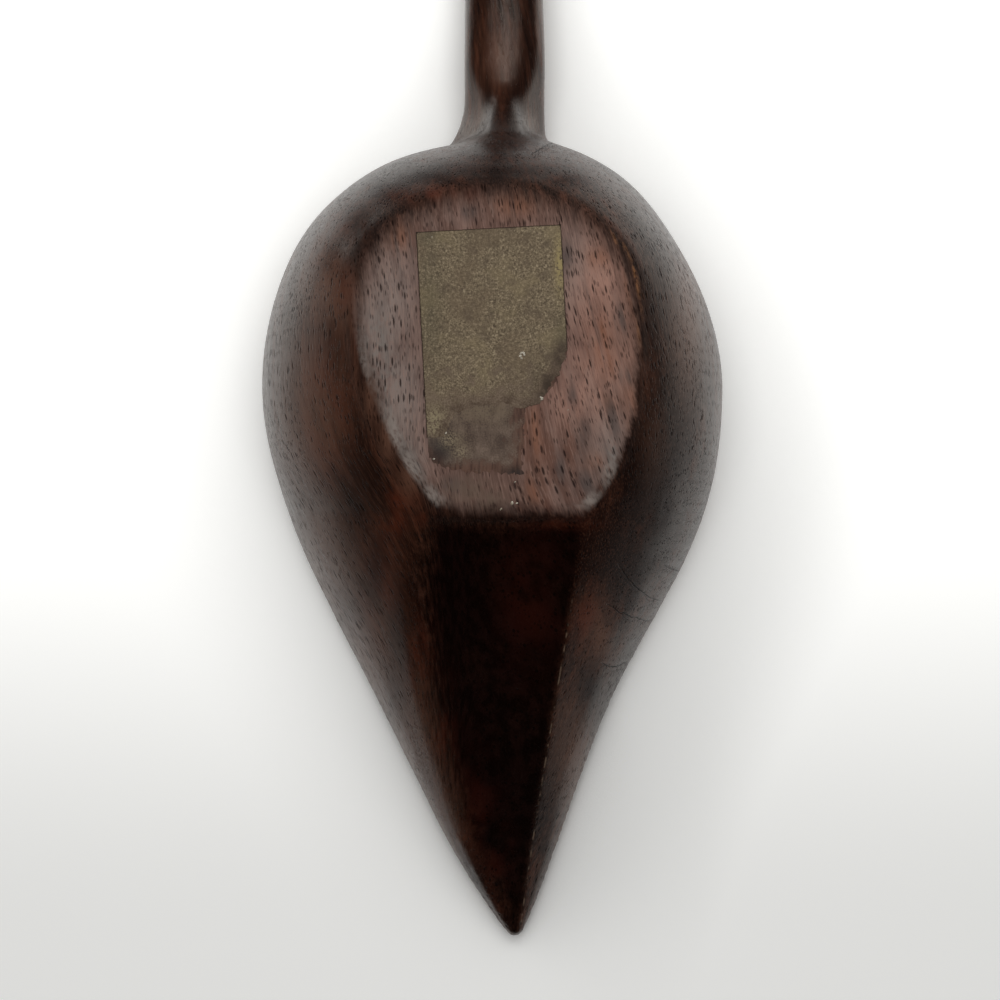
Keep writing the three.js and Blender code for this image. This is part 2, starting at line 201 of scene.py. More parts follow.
class Side:
    """One side of the bowl: its rim, and the foot's edge, which goes on as the edge of the spout's facet.

    A station of it is a point of the rim and the point of the edge below it.
    """

    def __init__(self, sign, rim, rim_forms, edge, edge_forms):
        self.sign = sign
        self.neck_y = sign * rim[0]
        places = (REAR_X, WIDEST_X, NARROWING_X)
        self.rim_rear, *self.rim = self.line(places, rim, SPOUT_HALF, rim_forms)
        places = (FOOT_REAR_X, FOOT_SIDE_X, FOOT_FRONT_X)
        self.edge_rear, *self.edge = self.line(places, edge, FACET_HALF, edge_forms)

    def line(self, places, widths, half, forms):
        """Curves through the widths at their places, and on to the spout."""
        spots = [(x, self.sign * width) for x, width in zip(places, widths)]
        spots.append((SPOUT_X, SPOUT_Y + self.sign * half))
        return [Curve(start, end, *form) for start, end, form in zip(spots, spots[1:], forms)]

    def tip(self):
        x = SPOUT_X + TIP_LENGTH
        half = TIP_HALF * FACET_HALF / SPOUT_HALF
        edge = (x - FACET_SETBACK, SPOUT_Y + self.sign * half, facet_z(SPOUT_X))
        return (x, SPOUT_Y + self.sign * TIP_HALF), edge

    def front(self, x):
        setback = FACET_SETBACK * max(0.0, (x - FOOT_FRONT_X) / (SPOUT_X - FOOT_FRONT_X))
        return (x, across(self.rim, x)), (x - setback, across(self.edge, x), facet_z(x))

    def rear(self, t):
        if t < FOOT_MATCH:
            return self.rim_rear.at(t), self.edge_rear.at(t / FOOT_MATCH) + (FOOT_Z,)
        x = mix(FOOT_SIDE_X, WIDEST_X, (t - FOOT_MATCH) / (1 - FOOT_MATCH))
        return self.rim_rear.at(t), (x, across(self.edge, x), FOOT_Z)

    def neck(self, t):
        """Under the handle the rim bulges rearward, and the two sides meet in an upright line."""
        x = REAR_X - NECK_BULGE * (1 - (1 - t) ** 2)
        return (x, mix(self.neck_y, NECK_Y, t)), (FOOT_REAR_X, 0, FOOT_Z)

    def stations(self):
        spout = [mix(SPOUT_X, FOOT_FRONT_X, (i / SPOUT_STEPS) ** SPOUT_PACE) for i in range(SPOUT_STEPS + 1)]
        wide = [mix(FOOT_FRONT_X, WIDEST_X, i / SIDE_STEPS) for i in range(1, SIDE_STEPS + 1)]
        found = [self.tip()] + [self.front(x) for x in spout + wide]
        found += [self.rear(i / REAR_STEPS) for i in reversed(range(REAR_STEPS))]
        return found + [self.neck(i / NECK_STEPS) for i in range(1, NECK_STEPS + 1)]

    def inner_rim(self):
        """The rim moved inward by the wall."""
        rims = np.array([rim for rim, _ in self.stations()[1:]])
        run = np.empty_like(rims)
        run[1:-1] = rims[2:] - rims[:-2]
        run[0] = rims[1] - rims[0]
        run[-1] = rims[-1] - rims[-2]
        run /= np.linalg.norm(run, axis=1)[:, None]
        inner = rims + self.sign * RIM_WALL * np.column_stack([-run[:, 1], run[:, 0]])
        inner[-1] = rims[-1] + (RIM_WALL, 0)
        return inner


LEFT = Side(
    1,
    (LEFT_NECK, LEFT_WIDTH, LEFT_NARROWING),
    [((0.074, 0.711), (0.485, 0)), ((0.339, 0), (0.259, 0.38)), ((0.27, 0.257), (0.249, 0.375))],
    (0, LEFT_FOOT, LEFT_CORNER),
    [((0, 0.562), (0.569, 0)), ((0.461, 0), (0.241, 0.54)), ((0.087, -0.75), (0.286, 1.071))],
)
RIGHT = Side(
    -1,
    (RIGHT_NECK, RIGHT_WIDTH, RIGHT_NARROWING),
    [((0.115, 0.644), (0.293, 0)), ((0.459, 0), (0.359, 0.536)), ((0.274, 0.363), (0.235, 0.306))],
    (0, RIGHT_FOOT, RIGHT_CORNER),
    [((0, 0.545), (0.569, 0)), ((0.542, -0.082), (0.214, 0.722)), ((0.087, 0.009), (0.385, 0.312))],
)


def climbing_points(low, rim, rear, ahead, front):
    """Points from low up to the rim, along a curve that goes over from the rear form to the one ahead."""
    first, second = ([mix(a, b, front) for a, b in zip(*pair)] for pair in zip(rear, ahead))
    shape = Curve((0, 0), (1, 1), first, (1 - second[0], 1 - second[1]))
    top = (rim[0], rim[1], rim_z(rim[0]))
    shares = shape.points(np.linspace(0, 1, WALL_STEPS + 1))
    return [tuple(mix(p, q, s) for p, q, s in zip(low, top, (a, a, b))) for a, b in shares]


def wall_points(edge, rim):
    front = smoothstep(edge[0], WIDEST_X + 5, NARROWING_X)
    return climbing_points(edge, rim, WALL_REAR, WALL_AHEAD, front)


def hollow_points(rim, middle):
    x = mix(WIDEST_X, rim[0], FLOOR_REACH) if rim[0] < WIDEST_X else rim[0]
    low = (x, mix(middle, rim[1], FLOOR_SHARE), floor_z(x))
    front = smoothstep(rim[0], WIDEST_X, 0.8 * NARROWING_X)
    return climbing_points(low, rim, HOLLOW_REAR, HOLLOW_AHEAD, front)


floor_line = Curve(
    (FLOOR_LEVEL_X, FOOT_Z + FLOOR_WALL),
    (TROUGH_END_X, rim_z(TROUGH_END_X) - TROUGH_END_DEPTH),
    (0.225, 0),
    (0.573, 0.693),
)


def floor_z(x):
    return FOOT_Z + FLOOR_WALL if x <= FLOOR_LEVEL_X else floor_line.across(x)


def bowl_rings():
    return [wall_points(edge_a, rim_a)[::-1] + wall_points(edge_b, rim_b)
            for (rim_a, edge_a), (rim_b, edge_b) in zip(LEFT.stations(), RIGHT.stations())]


def hollow_rings():
    rings = []
    above = rim_z(0) + ABOVE_RIM
    for a, b in zip(LEFT.inner_rim(), RIGHT.inner_rim()):
        if a[0] > WIDEST_X and a[1] - b[1] < TROUGH_END_WIDTH:
            continue
        middle = (a[1] + b[1]) / 2
        down = [(a[0], a[1], above)] + hollow_points(a, middle)[::-1]
        rings.append(down + hollow_points(b, middle) + [(b[0], b[1], above)])
    return rings


def mirrored(right):
    """A section from the points of its right side, which run from its underside up."""
    left = [(-side, height) for side, height in right]
    return [left[0], (0, 0), *right, (0, 1), *left[:0:-1]]


# Cross-section of the handle, in shares of its half width and its thickness
HANDLE_SECTION = mirrored([(0.5, 0.02), (0.82, 0.12), (0.96, 0.28), (1, 0.46), (1, 0.62), (0.93, 0.79),
                           (0.74, 0.92), (0.42, 0.985)])
# The same at the neck, where the underside is a narrow crest between steep sides
NECK_SECTION = mirrored([(0.28, 0.01), (0.45, 0.12), (0.8, 0.44), (0.96, 0.62), (1, 0.72), (0.93, 0.82),
                         (0.74, 0.92), (0.42, 0.985)])


def handle_ring(x, close=1.0):
    run = min(max((REAR_X - x) / (REAR_X - HANDLE_END_X), 0.0), 1.0)
    flare = NECK_FLARE * max(0.0, (x - NECK_X) / (REAR_X - NECK_X)) ** 2
    waist = HANDLE_WAIST * math.sin(math.pi * min(run * WAIST_PACE, 1))
    half = HANDLE_HALF - waist + HANDLE_SWELL * run**3
    thick = (HANDLE_THICK - HANDLE_THINNING * math.sin(math.pi * run)) * mix(END_THICKNESS, 1, close)
    top = rim_z(REAR_X) + HANDLE_RISE * run**RISE_POWER - (HANDLE_THICK - thick) / 2
    width = max(close, END_WIDTH)
    left = (half + flare) * width
    right = half * width
    ring = []
    neck = smoothstep(x, NECK_START_X, NECK_FULL_X)
    for shaft, root in zip(HANDLE_SECTION, NECK_SECTION):
        side, height = mix(shaft[0], root[0], neck), mix(shaft[1], root[1], neck)
        y = HANDLE_Y + side * (left if side > 0 else right)
        ring.append((x, y, top - thick + height * thick))
    return ring


def handle_rings():
    end_start = HANDLE_END_X + END_LENGTH
    rings = [handle_ring(mix(HANDLE_ROOT_X, NECK_X, i / ROOT_STEPS)) for i in range(ROOT_STEPS)]
    rings += [handle_ring(mix(NECK_X, end_start, i / SHAFT_STEPS)) for i in range(SHAFT_STEPS)]
    for i in range(END_STEPS + 1):
        angle = i / END_STEPS * math.pi / 2
        rings.append(handle_ring(end_start - END_LENGTH * math.sin(angle), math.cos(angle)))
    return rings


def web_rings():
    under = rim_z(REAR_X) - HANDLE_THICK + WEB_OVERLAP
    line = Curve((WEB_START_X, under), (WEB_END_X, WEB_LOW_Z), (0.36, 0.13), (0.294, 0.643))
    roof = under + WEB_INSIDE
    rings = []
    for i in range(WEB_STEPS + 1):
        t = i / WEB_STEPS
        x, z = line.at(t)
        low = mix(WEB_START_HALF, WEB_END_HALF, t)
        high = WEB_ROOF_HALF + WEB_ROOF_SPREAD * t
        half = mix(low, high, WEB_SPREAD)
        middle = mix(z, roof, 0.5)
        rings.append([
            (x, HANDLE_Y - low, z), (x, HANDLE_Y + low, z), (x, HANDLE_Y + half, middle),
            (x, HANDLE_Y + high, roof), (x, HANDLE_Y - high, roof), (x, HANDLE_Y - half, middle),
        ])
    return rings


def scene_object(name, data):
    made = bpy.data.objects.new(name, data)
    bpy.context.scene.collection.objects.link(made)
    return made


def mesh_object(name, bm):
    """A new object of the scene from a bmesh, which is used up."""
    mesh = bpy.data.meshes.new(name)
    bm.to_mesh(mesh)
    bm.free()
    return scene_object(name, mesh)


def closed_object(name, rings, seam=False):
    """A closed mesh through rings of points, capped at both ends or closed in a seam."""
    count = len(rings[0])
    bm = bmesh.new()
    rows = [[bm.verts.new(Vector(p) * MM) for p in ring] for ring in rings]
    for low, high in zip(rows, rows[1:]):
        for i in range(count):
            j = (i + 1) % count
            bm.faces.new((low[i], low[j], high[j], high[i]))
    bm.faces.new(rows[0][::-1])
    if not seam:
        bm.faces.new(rows[-1])
    bmesh.ops.remove_doubles(bm, verts=bm.verts, dist=WELD * MM)
    bmesh.ops.triangulate(bm, faces=bm.faces)
    bmesh.ops.recalc_face_normals(bm, faces=bm.faces)
    return mesh_object(name, bm)


def bake_modifiers(made):
    """Gives the object the mesh that its modifiers make."""
    bpy.context.view_layer.update()
    graph = bpy.context.evaluated_depsgraph_get()
    mesh = bpy.data.meshes.new_from_object(made.evaluated_get(graph))
    made.modifiers.clear()
    old = made.data
    made.data = mesh
    bpy.data.meshes.remove(old)


def stretch_to_sheer(mesh, power):
    """Scales heights so that a level rim takes its sheer. A power of -1 takes the sheer out again."""
    places = mesh_places(mesh)
    x = np.maximum(places[:, 0], REAR_X)
    lift = RIM_SHEER * ((x - SHEER_MIDDLE) / (SPOUT_X - SHEER_MIDDLE)) ** 2
    factor = (1 + lift / BOWL_HEIGHT) ** power
    places[:, 2] = FOOT_Z + (places[:, 2] - FOOT_Z) * factor
    set_places(mesh, places)


def carved_blank():
    """Bowl, web and handle joined, the hollow taken out, then one even skin of small faces."""
    bowl = closed_object("carved_scoop", bowl_rings(), seam=True)
    tools = [
        (closed_object("tool_handle", handle_rings()), "UNION"),
        (closed_object("tool_web", web_rings()), "UNION"),
        (closed_object("tool_hollow", hollow_rings(), seam=True), "DIFFERENCE"),
    ]
    for tool, operation in tools:
        step = bowl.modifiers.new(operation.lower(), "BOOLEAN")
        step.object = tool
        step.operation = operation
        step.solver = "EXACT"
    bake_modifiers(bowl)
    for tool, _ in tools:
        used = tool.data
        bpy.data.objects.remove(tool)
        bpy.data.meshes.remove(used)
    # The skin is made with a level rim, because a sloping one comes out in steps
    stretch_to_sheer(bowl.data, -1)
    skin = bowl.modifiers.new("skin", "REMESH")
    skin.mode = "VOXEL"
    skin.voxel_size = VOXEL * MM
    skin.adaptivity = 0
    bake_modifiers(bowl)
    stretch_to_sheer(bowl.data, 1)
    return bowl


class Nodes:
    """A short way to write a material's nodes."""

    def __init__(self, tree):
        self.tree = tree

    def add(self, kind, inputs=None, **settings):
        node = self.tree.nodes.new(kind)
        for key, value in settings.items():
            setattr(node, key, value)
        for key, value in (inputs or {}).items():
            self.set(node.inputs[key], value)
        return node

    def set(self, socket, value):
        if isinstance(value, bpy.types.NodeSocket):
            self.tree.links.new(value, socket)
        elif isinstance(value, bpy.types.Node):
            self.tree.links.new(value.outputs[0], socket)
        else:
            socket.default_value = value

    def math(self, operation, a, b=0.0, clamp=False):
        return self.add("ShaderNodeMath", {0: a, 1: b}, operation=operation, use_clamp=clamp).outputs[0]

    def times(self, first, *others):
        for other in others:
            first = self.math("MULTIPLY", first, other)
        return first

    def add_up(self, first, *others):
        for other in others:
            first = self.math("ADD", first, other)
        return first

    def larger(self, a, b, clamp=False):
        return self.math("MAXIMUM", a, b, clamp)

    def minus(self, a, b, clamp=False):
        return self.math("SUBTRACT", a, b, clamp)

    def scaled(self, value, shift, factor):
        return self.times(self.math("ADD", value, shift), factor)

    def swing(self, noise, width):
        """The noise centred on 0 and stretched to the width."""
        return self.scaled(noise, -0.5, width)

    def vector(self, operation, a, b=(0, 0, 0)):
        return self.add("ShaderNodeVectorMath", {0: a, 1: b}, operation=operation).outputs[0]

    def mix(self, share, a, b):
        return self.add("ShaderNodeMix", {0: share, 6: a, 7: b}, data_type="RGBA").outputs[2]

    def between_values(self, share, a, b):
        return self.add("ShaderNodeMix", {0: share, 2: a, 3: b}, data_type="FLOAT").outputs[0]

    def coats(self, colour, *coats):
        """Lays colours over each other. A coat is its share, its strength and an everyday colour."""
        for share, strength, shade in coats:
            colour = self.mix(self.times(share, strength), colour, srgb(*shade))
        return colour

    def millimetres(self):
        """The place in the object, in millimetres."""
        place = self.add("ShaderNodeTexCoord").outputs["Object"]
        return self.add("ShaderNodeMapping", {"Vector": place, "Scale": (1 / MM, 1 / MM, 1 / MM)}).outputs[0]

    def stretched(self, vector, along, over):
        return self.add("ShaderNodeMapping", {"Vector": vector, "Scale": (along, over, over)}).outputs[0]

    def noise(self, vector, scale, detail=2, colour=False):
        node = self.add("ShaderNodeTexNoise", {"Vector": vector, "Scale": scale, "Detail": detail})
        return node.outputs["Color" if colour else "Fac"]

    def layer(self, name):
        return self.add("ShaderNodeAttribute", attribute_name=name).outputs["Fac"]

    def parts(self, vector):
        return self.add("ShaderNodeSeparateXYZ", {"Vector": vector}).outputs

    def between(self, value, low, high):
        """0 up to low, 1 from high, smooth between. Where low is above high it falls."""
        ends = {"Value": value, "From Min": low, "From Max": high}
        return self.add("ShaderNodeMapRange", ends, interpolation_type="SMOOTHSTEP").outputs[0]

    def band(self, value, middle, half):
        """1 at middle, falling to 0 at half on both sides."""
        return self.between(self.math("ABSOLUTE", self.minus(value, middle)), half, half * 0.25)

    def pores(self, vector, reach, core, share):
        """Open pores: long cells of which the given share is left closed."""
        cells = self.add("ShaderNodeTexVoronoi", {"Vector": vector, "Scale": 1.0})
        shape = self.between(cells.outputs["Distance"], reach, core)
        chance = self.minus(self.parts(cells.outputs["Color"])[0], share)
        return self.times(shape, self.between(chance, 0.0, 0.12))

    def ramp(self, value, *stops):
        """Colours along a value. A stop is a place and an everyday colour."""
        node = self.add("ShaderNodeValToRGB", {"Fac": value})
        elements = node.color_ramp.elements
        while len(elements) < len(stops):
            elements.new(0.5)
        for element, (place, shade) in zip(elements, stops):
            element.position = place
            element.color = srgb(*shade)
        return node.outputs[0]

    def surface(self, colour, rough, height, strength, depth, **others):
        """Ends a material. The bump's depth is in millimetres."""
        bump = self.add("ShaderNodeBump", {"Height": height, "Strength": strength, "Distance": depth * MM})
        sockets = {"Base Color": colour, "Roughness": rough, "Normal": bump}
        sockets.update({key.replace("_", " "): value for key, value in others.items()})
        self.add("ShaderNodeOutputMaterial", {"Surface": self.add("ShaderNodeBsdfPrincipled", sockets)})


def srgb(red, green, blue):
    """A colour from its everyday 0 to 255 values."""
    parts = [value / 255 for value in (red, green, blue)]
    return (*[v / 12.92 if v <= 0.04045 else ((v + 0.055) / 1.055) ** 2.4 for v in parts], 1)


def material(name):
    made = bpy.data.materials.new(name)
    made.use_nodes = True
    made.node_tree.nodes.clear()
    return made, Nodes(made.node_tree)


# Distances in the layers of a mesh end here
FAR = 9.0


def read(items, key, width, kind=float):
    values = np.empty(len(items) * width, dtype=kind)
    items.foreach_get(key, values)
    return values.reshape(-1, width)


def mesh_places(mesh):
    return read(mesh.vertices, "co", 3) / MM


def mesh_normals(mesh):
    return read(mesh.vertex_normals, "vector", 3)


def set_places(mesh, places):
    mesh.vertices.foreach_set("co", (places * MM).ravel())
    mesh.update()


def toward_neighbours(places, edges, share):
    """Moves each vertex part of the way to the middle of its neighbours."""
    ends = edges.ravel()
    others = edges[:, ::-1].ravel()
    count = np.bincount(ends, minlength=len(places))[:, None]
    total = np.column_stack([np.bincount(ends, places[others, k], len(places)) for k in range(3)])
    return places + share * (total / count - places)


def step_between(x, low, high):
    t = np.clip((x - low) / (high - low), 0, 1)
    return t * t * (3 - 2 * t)


def waves(places, length, seed):
    """A gentle noise between about -1 and 1, from a few crossing waves."""
    rng = np.random.default_rng(seed)
    total = np.zeros(len(places))
    for _ in range(9):
        way = rng.normal(size=3)
        way /= np.linalg.norm(way)
        total += np.sin(places @ way * 2 * math.pi / (length * rng.uniform(0.7, 1.5)) + rng.uniform(0, 7))
    return total / 3


def gouge_cells(places, size, seed):
    """Squared distance to the middle of the nearest gouge mark, in shares of the mark's size."""
    rng = np.random.default_rng(seed)
    grid = places / np.array(size)
    low = np.floor(grid.min(0)).astype(int) - 1
    span = np.ceil(grid.max(0)).astype(int) + 2 - low
    jitter = rng.uniform(0.1, 0.9, size=(*span, 3))
    cell = np.floor(grid).astype(int) - low
    best = np.full(len(places), FAR)
    for dx in (-1, 0, 1):
        for dy in (-1, 0, 1):
            for dz in (-1, 0, 1):
                near = np.clip(cell + (dx, dy, dz), 0, span - 1)
                middle = near + low + jitter[near[:, 0], near[:, 1], near[:, 2]]
                best = np.minimum(best, ((grid - middle) ** 2).sum(1))
    return np.minimum(best, 1.0)


SMOOTHING = 9
SMOOTHING_IN = 0.55
SMOOTHING_OUT = -0.57
NECK_SMOOTHING = 12
SOFT_NECK = (-62, -52, -38, -30)
TOP_SMOOTHING = 45
TOP_IN = 0.6
TOP_OUT = -0.56
TOP_START = (-46, -54)
TOP_FACING = (-0.3, 0.2)
EDGE_SMOOTHING = 14
SOFT_SHARE = 0.6
SPOUT_EDGE = 0.35
SPOUT_EDGE_X = (-16, 4)
EDGE_WIDTH = 2.2
EDGE_HEIGHT = 3
RIDGE_WIDTH = 2.4
RIDGE_SHARE = 0.8
RIDGE_HEIGHT = 4
RIDGE_END = 20
OPEN_FACING = (-0.15, 0.25)
OPEN_START = (REAR_X - 1, REAR_X + 4)
FOOT_FACING = -0.93
FOOT_FLAT = (0.12, 0.5)
UNDULATION = 0.11
UNDULATION_LENGTH = 22
GOUGE_DEPTH = 0.3
GOUGE_SIZE = (17, 6.5, 6.5)


def carve_surface(mesh):
    """Takes the voxel steps off, softens the neck and adds what hand tools leave."""
    places = mesh_places(mesh)
    edges = read(mesh.edges, "vertices", 2, np.int64)
    for _ in range(SMOOTHING):
        places = toward_neighbours(places, edges, SMOOTHING_IN)
        places = toward_neighbours(places, edges, SMOOTHING_OUT)
    neck = step_between(places[:, 0], *SOFT_NECK[:2]) * (1 - step_between(places[:, 0], *SOFT_NECK[2:]))
    for _ in range(NECK_SMOOTHING):
        places = mix(places, toward_neighbours(places, edges, SOFT_SHARE), neck[:, None])
    # Hands have rubbed the top of the handle smooth
    set_places(mesh, places)
    top = step_between(places[:, 0], *TOP_START) * step_between(mesh_normals(mesh)[:, 2], *TOP_FACING)
    for _ in range(TOP_SMOOTHING):
        places = mix(places, toward_neighbours(places, edges, TOP_IN), top[:, None])
        places = mix(places, toward_neighbours(places, edges, TOP_OUT), top[:, None])
    low = places[:, 2] < FOOT_Z + EDGE_HEIGHT
    edge = np.zeros(len(places))
    edge[low] = np.exp(-((foot_distance(places[low, :2]) / EDGE_WIDTH) ** 2))
    edge *= mix(SPOUT_EDGE, 1.0, 1 - step_between(places[:, 0], *SPOUT_EDGE_X))
    front = (places[:, 0] > FOOT_FRONT_X) & (places[:, 0] < SPOUT_X - RIDGE_END) & (places[:, 1] > SPOUT_Y)
    front[front] = [z < facet_z(x) + RIDGE_HEIGHT for x, z in places[front][:, (0, 2)]]
    ridge = np.array([across(LEFT.edge, x) for x in places[front, 0]])
    near_ridge = RIDGE_SHARE * np.exp(-(((places[front, 1] - ridge) / RIDGE_WIDTH) ** 2))
    edge[front] = np.maximum(edge[front], near_ridge)
    for _ in range(EDGE_SMOOTHING):
        places = mix(places, toward_neighbours(places, edges, SOFT_SHARE), edge[:, None])
    set_places(mesh, places)
    normals = mesh_normals(mesh)
    inside = step_between(normals[:, 2], *OPEN_FACING) * step_between(places[:, 0], *OPEN_START)
    depth = UNDULATION * waves(places, UNDULATION_LENGTH, 3) * (1 - inside)
    depth += GOUGE_DEPTH * (gouge_cells(places, GOUGE_SIZE, 5) - 0.5) * inside
    places += normals * depth[:, None]
    foot = normals[:, 2] < FOOT_FACING
    rise = places[foot, 2] - FOOT_Z
    places[foot, 2] = FOOT_Z + rise * step_between(rise, *FOOT_FLAT)
    places[:, 2] = np.maximum(places[:, 2], FOOT_Z)
    set_places(mesh, places)


# Lines that the wear follows. A picture point is a pixel of the photograph.
def picture_points(places):
    spread = FOCAL_PIXELS / (CAMERA_DROP + places[:, 2])
    half = IMAGE_SIZE / 2
    right = half - (places[:, 1] - CAMERA_Y) * spread
    return np.column_stack([right, half + (places[:, 0] - CAMERA_X) * spread])


def line_distance(points, line):
    """Signed distance to a line of points, and the share of the way along it, both as arrays."""
    line = np.array(line, float)
    lengths = np.linalg.norm(np.diff(line, axis=0), axis=1)
    start = np.concatenate([[0], np.cumsum(lengths)])
    best = np.full(len(points), np.inf)
    signed = np.full(len(points), np.inf)
    along = np.zeros(len(points))
    for k, (a, b) in enumerate(zip(line, line[1:])):
        run = (b - a) / lengths[k]
        offset = points - a
        t = np.clip(offset @ run, 0, lengths[k])
        distance = np.linalg.norm(offset - t[:, None] * run, axis=1)
        side = np.sign(offset[:, 0] * run[1] - offset[:, 1] * run[0])
        closer = distance < best
        best[closer] = distance[closer]
        signed[closer] = (distance * side)[closer]
        along[closer] = ((start[k] + t) / start[-1])[closer]
    return signed, along


def foot_outline():
    steps = np.linspace(0, 1, 60)
    left, right = (side.edge[0].points(steps) for side in (LEFT, RIGHT))
    rear_left, rear_right = (side.edge_rear.points(steps) for side in (LEFT, RIGHT))
    return np.concatenate([rear_left[:-1], left, right[::-1], rear_right[-2:0:-1]])


def closed(outline):
    return np.concatenate([outline, outline[:1]])


def inside_outline(points, outline):
    ring = closed(outline)
    inside = np.zeros(len(points), bool)
    for (ax, ay), (bx, by) in zip(ring, ring[1:]):
        crosses = (ay > points[:, 1]) != (by > points[:, 1])
        if ay != by:
            reach = ax + (points[:, 1] - ay) * (bx - ax) / (by - ay)
            inside ^= crosses & (points[:, 0] < reach)
    return inside


def foot_distance(points):
    """Distance to the foot's outline, positive inside it."""
    outline = foot_outline()
    distance = np.abs(line_distance(points, closed(outline))[0])
    return np.where(inside_outline(points, outline), distance, -distance)


CRACKS = [
    [(530, 155), (547, 145), (557, 141)],
    [(618, 564), (627, 577), (633, 584), (638, 589), (644, 593), (650, 598), (661, 601)],
    [(606, 604), (613, 607), (618, 612), (624, 613), (631, 617), (638, 618), (646, 621), (656, 619)],
    [(664, 565), (671, 569), (679, 571)],
    [(601, 663), (611, 667), (618, 666), (625, 662)],
]
CRACK_REACH = 4.0
UNDER_FACING = 0.05
NEAR_FOOT_Z = 14

# Soft patches on the underside: middle and half sizes, in pixels of the photograph
PATCHES = {
    "dull": [(502, 118, 12, 24), (488, 147, 16, 13), (516, 147, 16, 13), (500, 170, 80, 11),
             (500, 159, 44, 10), (472, 45, 7, 60), (440, 178, 40, 10), (565, 180, 30, 9), (491, 99, 8, 8),
             (514, 98, 7, 7), (362, 228, 26, 30), (395, 196, 30, 16), (334, 264, 18, 26),
             (542, 60, 5, 50)],
    "gloss": [(468, 130, 15, 14), (484, 122, 6, 12), (528, 124, 9, 9)],
    "brown": [(330, 560, 40, 90), (370, 660, 36, 90), (410, 750, 34, 80), (440, 820, 26, 60),
              (310, 420, 40, 90), (600, 640, 14, 34), (575, 760, 20, 60), (330, 290, 32, 44),
              (688, 320, 16, 76), (654, 448, 12, 40), (500, 60, 14, 26), (372, 396, 9, 26),
              (388, 440, 9, 24), (409, 480, 10, 20)],
    "rubbed": [(394, 430, 14, 34), (411, 466, 14, 24), (430, 496, 14, 12), (592, 500, 18, 8),
               (611, 478, 7, 16), (362, 395, 8, 50)],
    # where an orange glint, a painted highlight, lies along the foot's right edge
    "painted_glint": [(620, 250, 12, 18), (634, 280, 7, 18), (636, 322, 6, 16)],
    "pink": [(602, 300, 34, 66), (602, 375, 30, 54), (575, 400, 22, 30)],
    "mauve": [(392, 300, 26, 56), (400, 400, 26, 60), (575, 275, 20, 44), (372, 340, 14, 70),
              (605, 440, 22, 40)],
    "orange": [(631, 296, 8, 40), (630, 394, 7, 34), (534, 436, 8, 36), (610, 366, 8, 22),
               (606, 330, 10, 14), (602, 348, 8, 18), (612, 402, 14, 12), (533, 493, 8, 18),
               (515, 205, 22, 12), (596, 462, 10, 8), (528, 425, 12, 20), (598, 258, 12, 10),
               (400, 236, 14, 14), (380, 470, 8, 26)],
    "grey": [(378, 350, 14, 40), (384, 392, 16, 36), (402, 470, 20, 30), (614, 462, 8, 26)],
    "slate": [(622, 318, 10, 22), (452, 486, 12, 9), (584, 440, 8, 26), (560, 470, 6, 20),
              (628, 376, 12, 12), (612, 420, 12, 40), (588, 484, 16, 18), (358, 330, 8, 44),
              (572, 395, 6, 16), (470, 212, 8, 8), (566, 256, 8, 18), (500, 510, 50, 8)],
    "red": [(600, 335, 20, 40), (565, 455, 30, 52), (533, 492, 10, 22), (440, 196, 40, 8),
            (424, 520, 9, 8), (392, 520, 12, 16), (320, 415, 26, 60), (499, 60, 11, 26),
            (555, 524, 34, 7), (380, 610, 22, 60), (588, 618, 13, 26), (530, 600, 30, 60),
            (420, 660, 14, 44), (446, 730, 15, 44), (478, 800, 18, 50), (500, 860, 14, 40),
            (345, 300, 14, 60), (398, 500, 18, 12), (540, 503, 26, 9)],
    "stain": [(468, 490, 24, 15), (490, 500, 20, 12)],
    # Dark patches are partly the wood's own darker places and partly painted shade: the web under the neck
    # and the band above the foot turn from the light
    "dark": [(376, 572, 13, 42), (400, 620, 14, 60), (484, 735, 22, 70), (500, 145, 34, 22),
             (355, 505, 22, 50), (655, 470, 30, 110), (548, 852, 7, 10), (500, 172, 80, 10),
             (360, 250, 20, 40), (500, 518, 70, 6), (592, 690, 12, 26), (650, 330, 9, 50),
             (530, 30, 6, 40)],
}


def patch_weight(points, patches):
    total = np.zeros(len(points))
    for x, y, across_half, down_half in patches:
        offset = (points - (x, y)) / (across_half, down_half)
        total = np.maximum(total, np.exp(-(offset**2).sum(1)))
    return total


def add_layer(mesh, name, values):
    layer = mesh.attributes.new(name, "FLOAT", "POINT")
    layer.data.foreach_set("value", np.ascontiguousarray(values, dtype=np.float32))


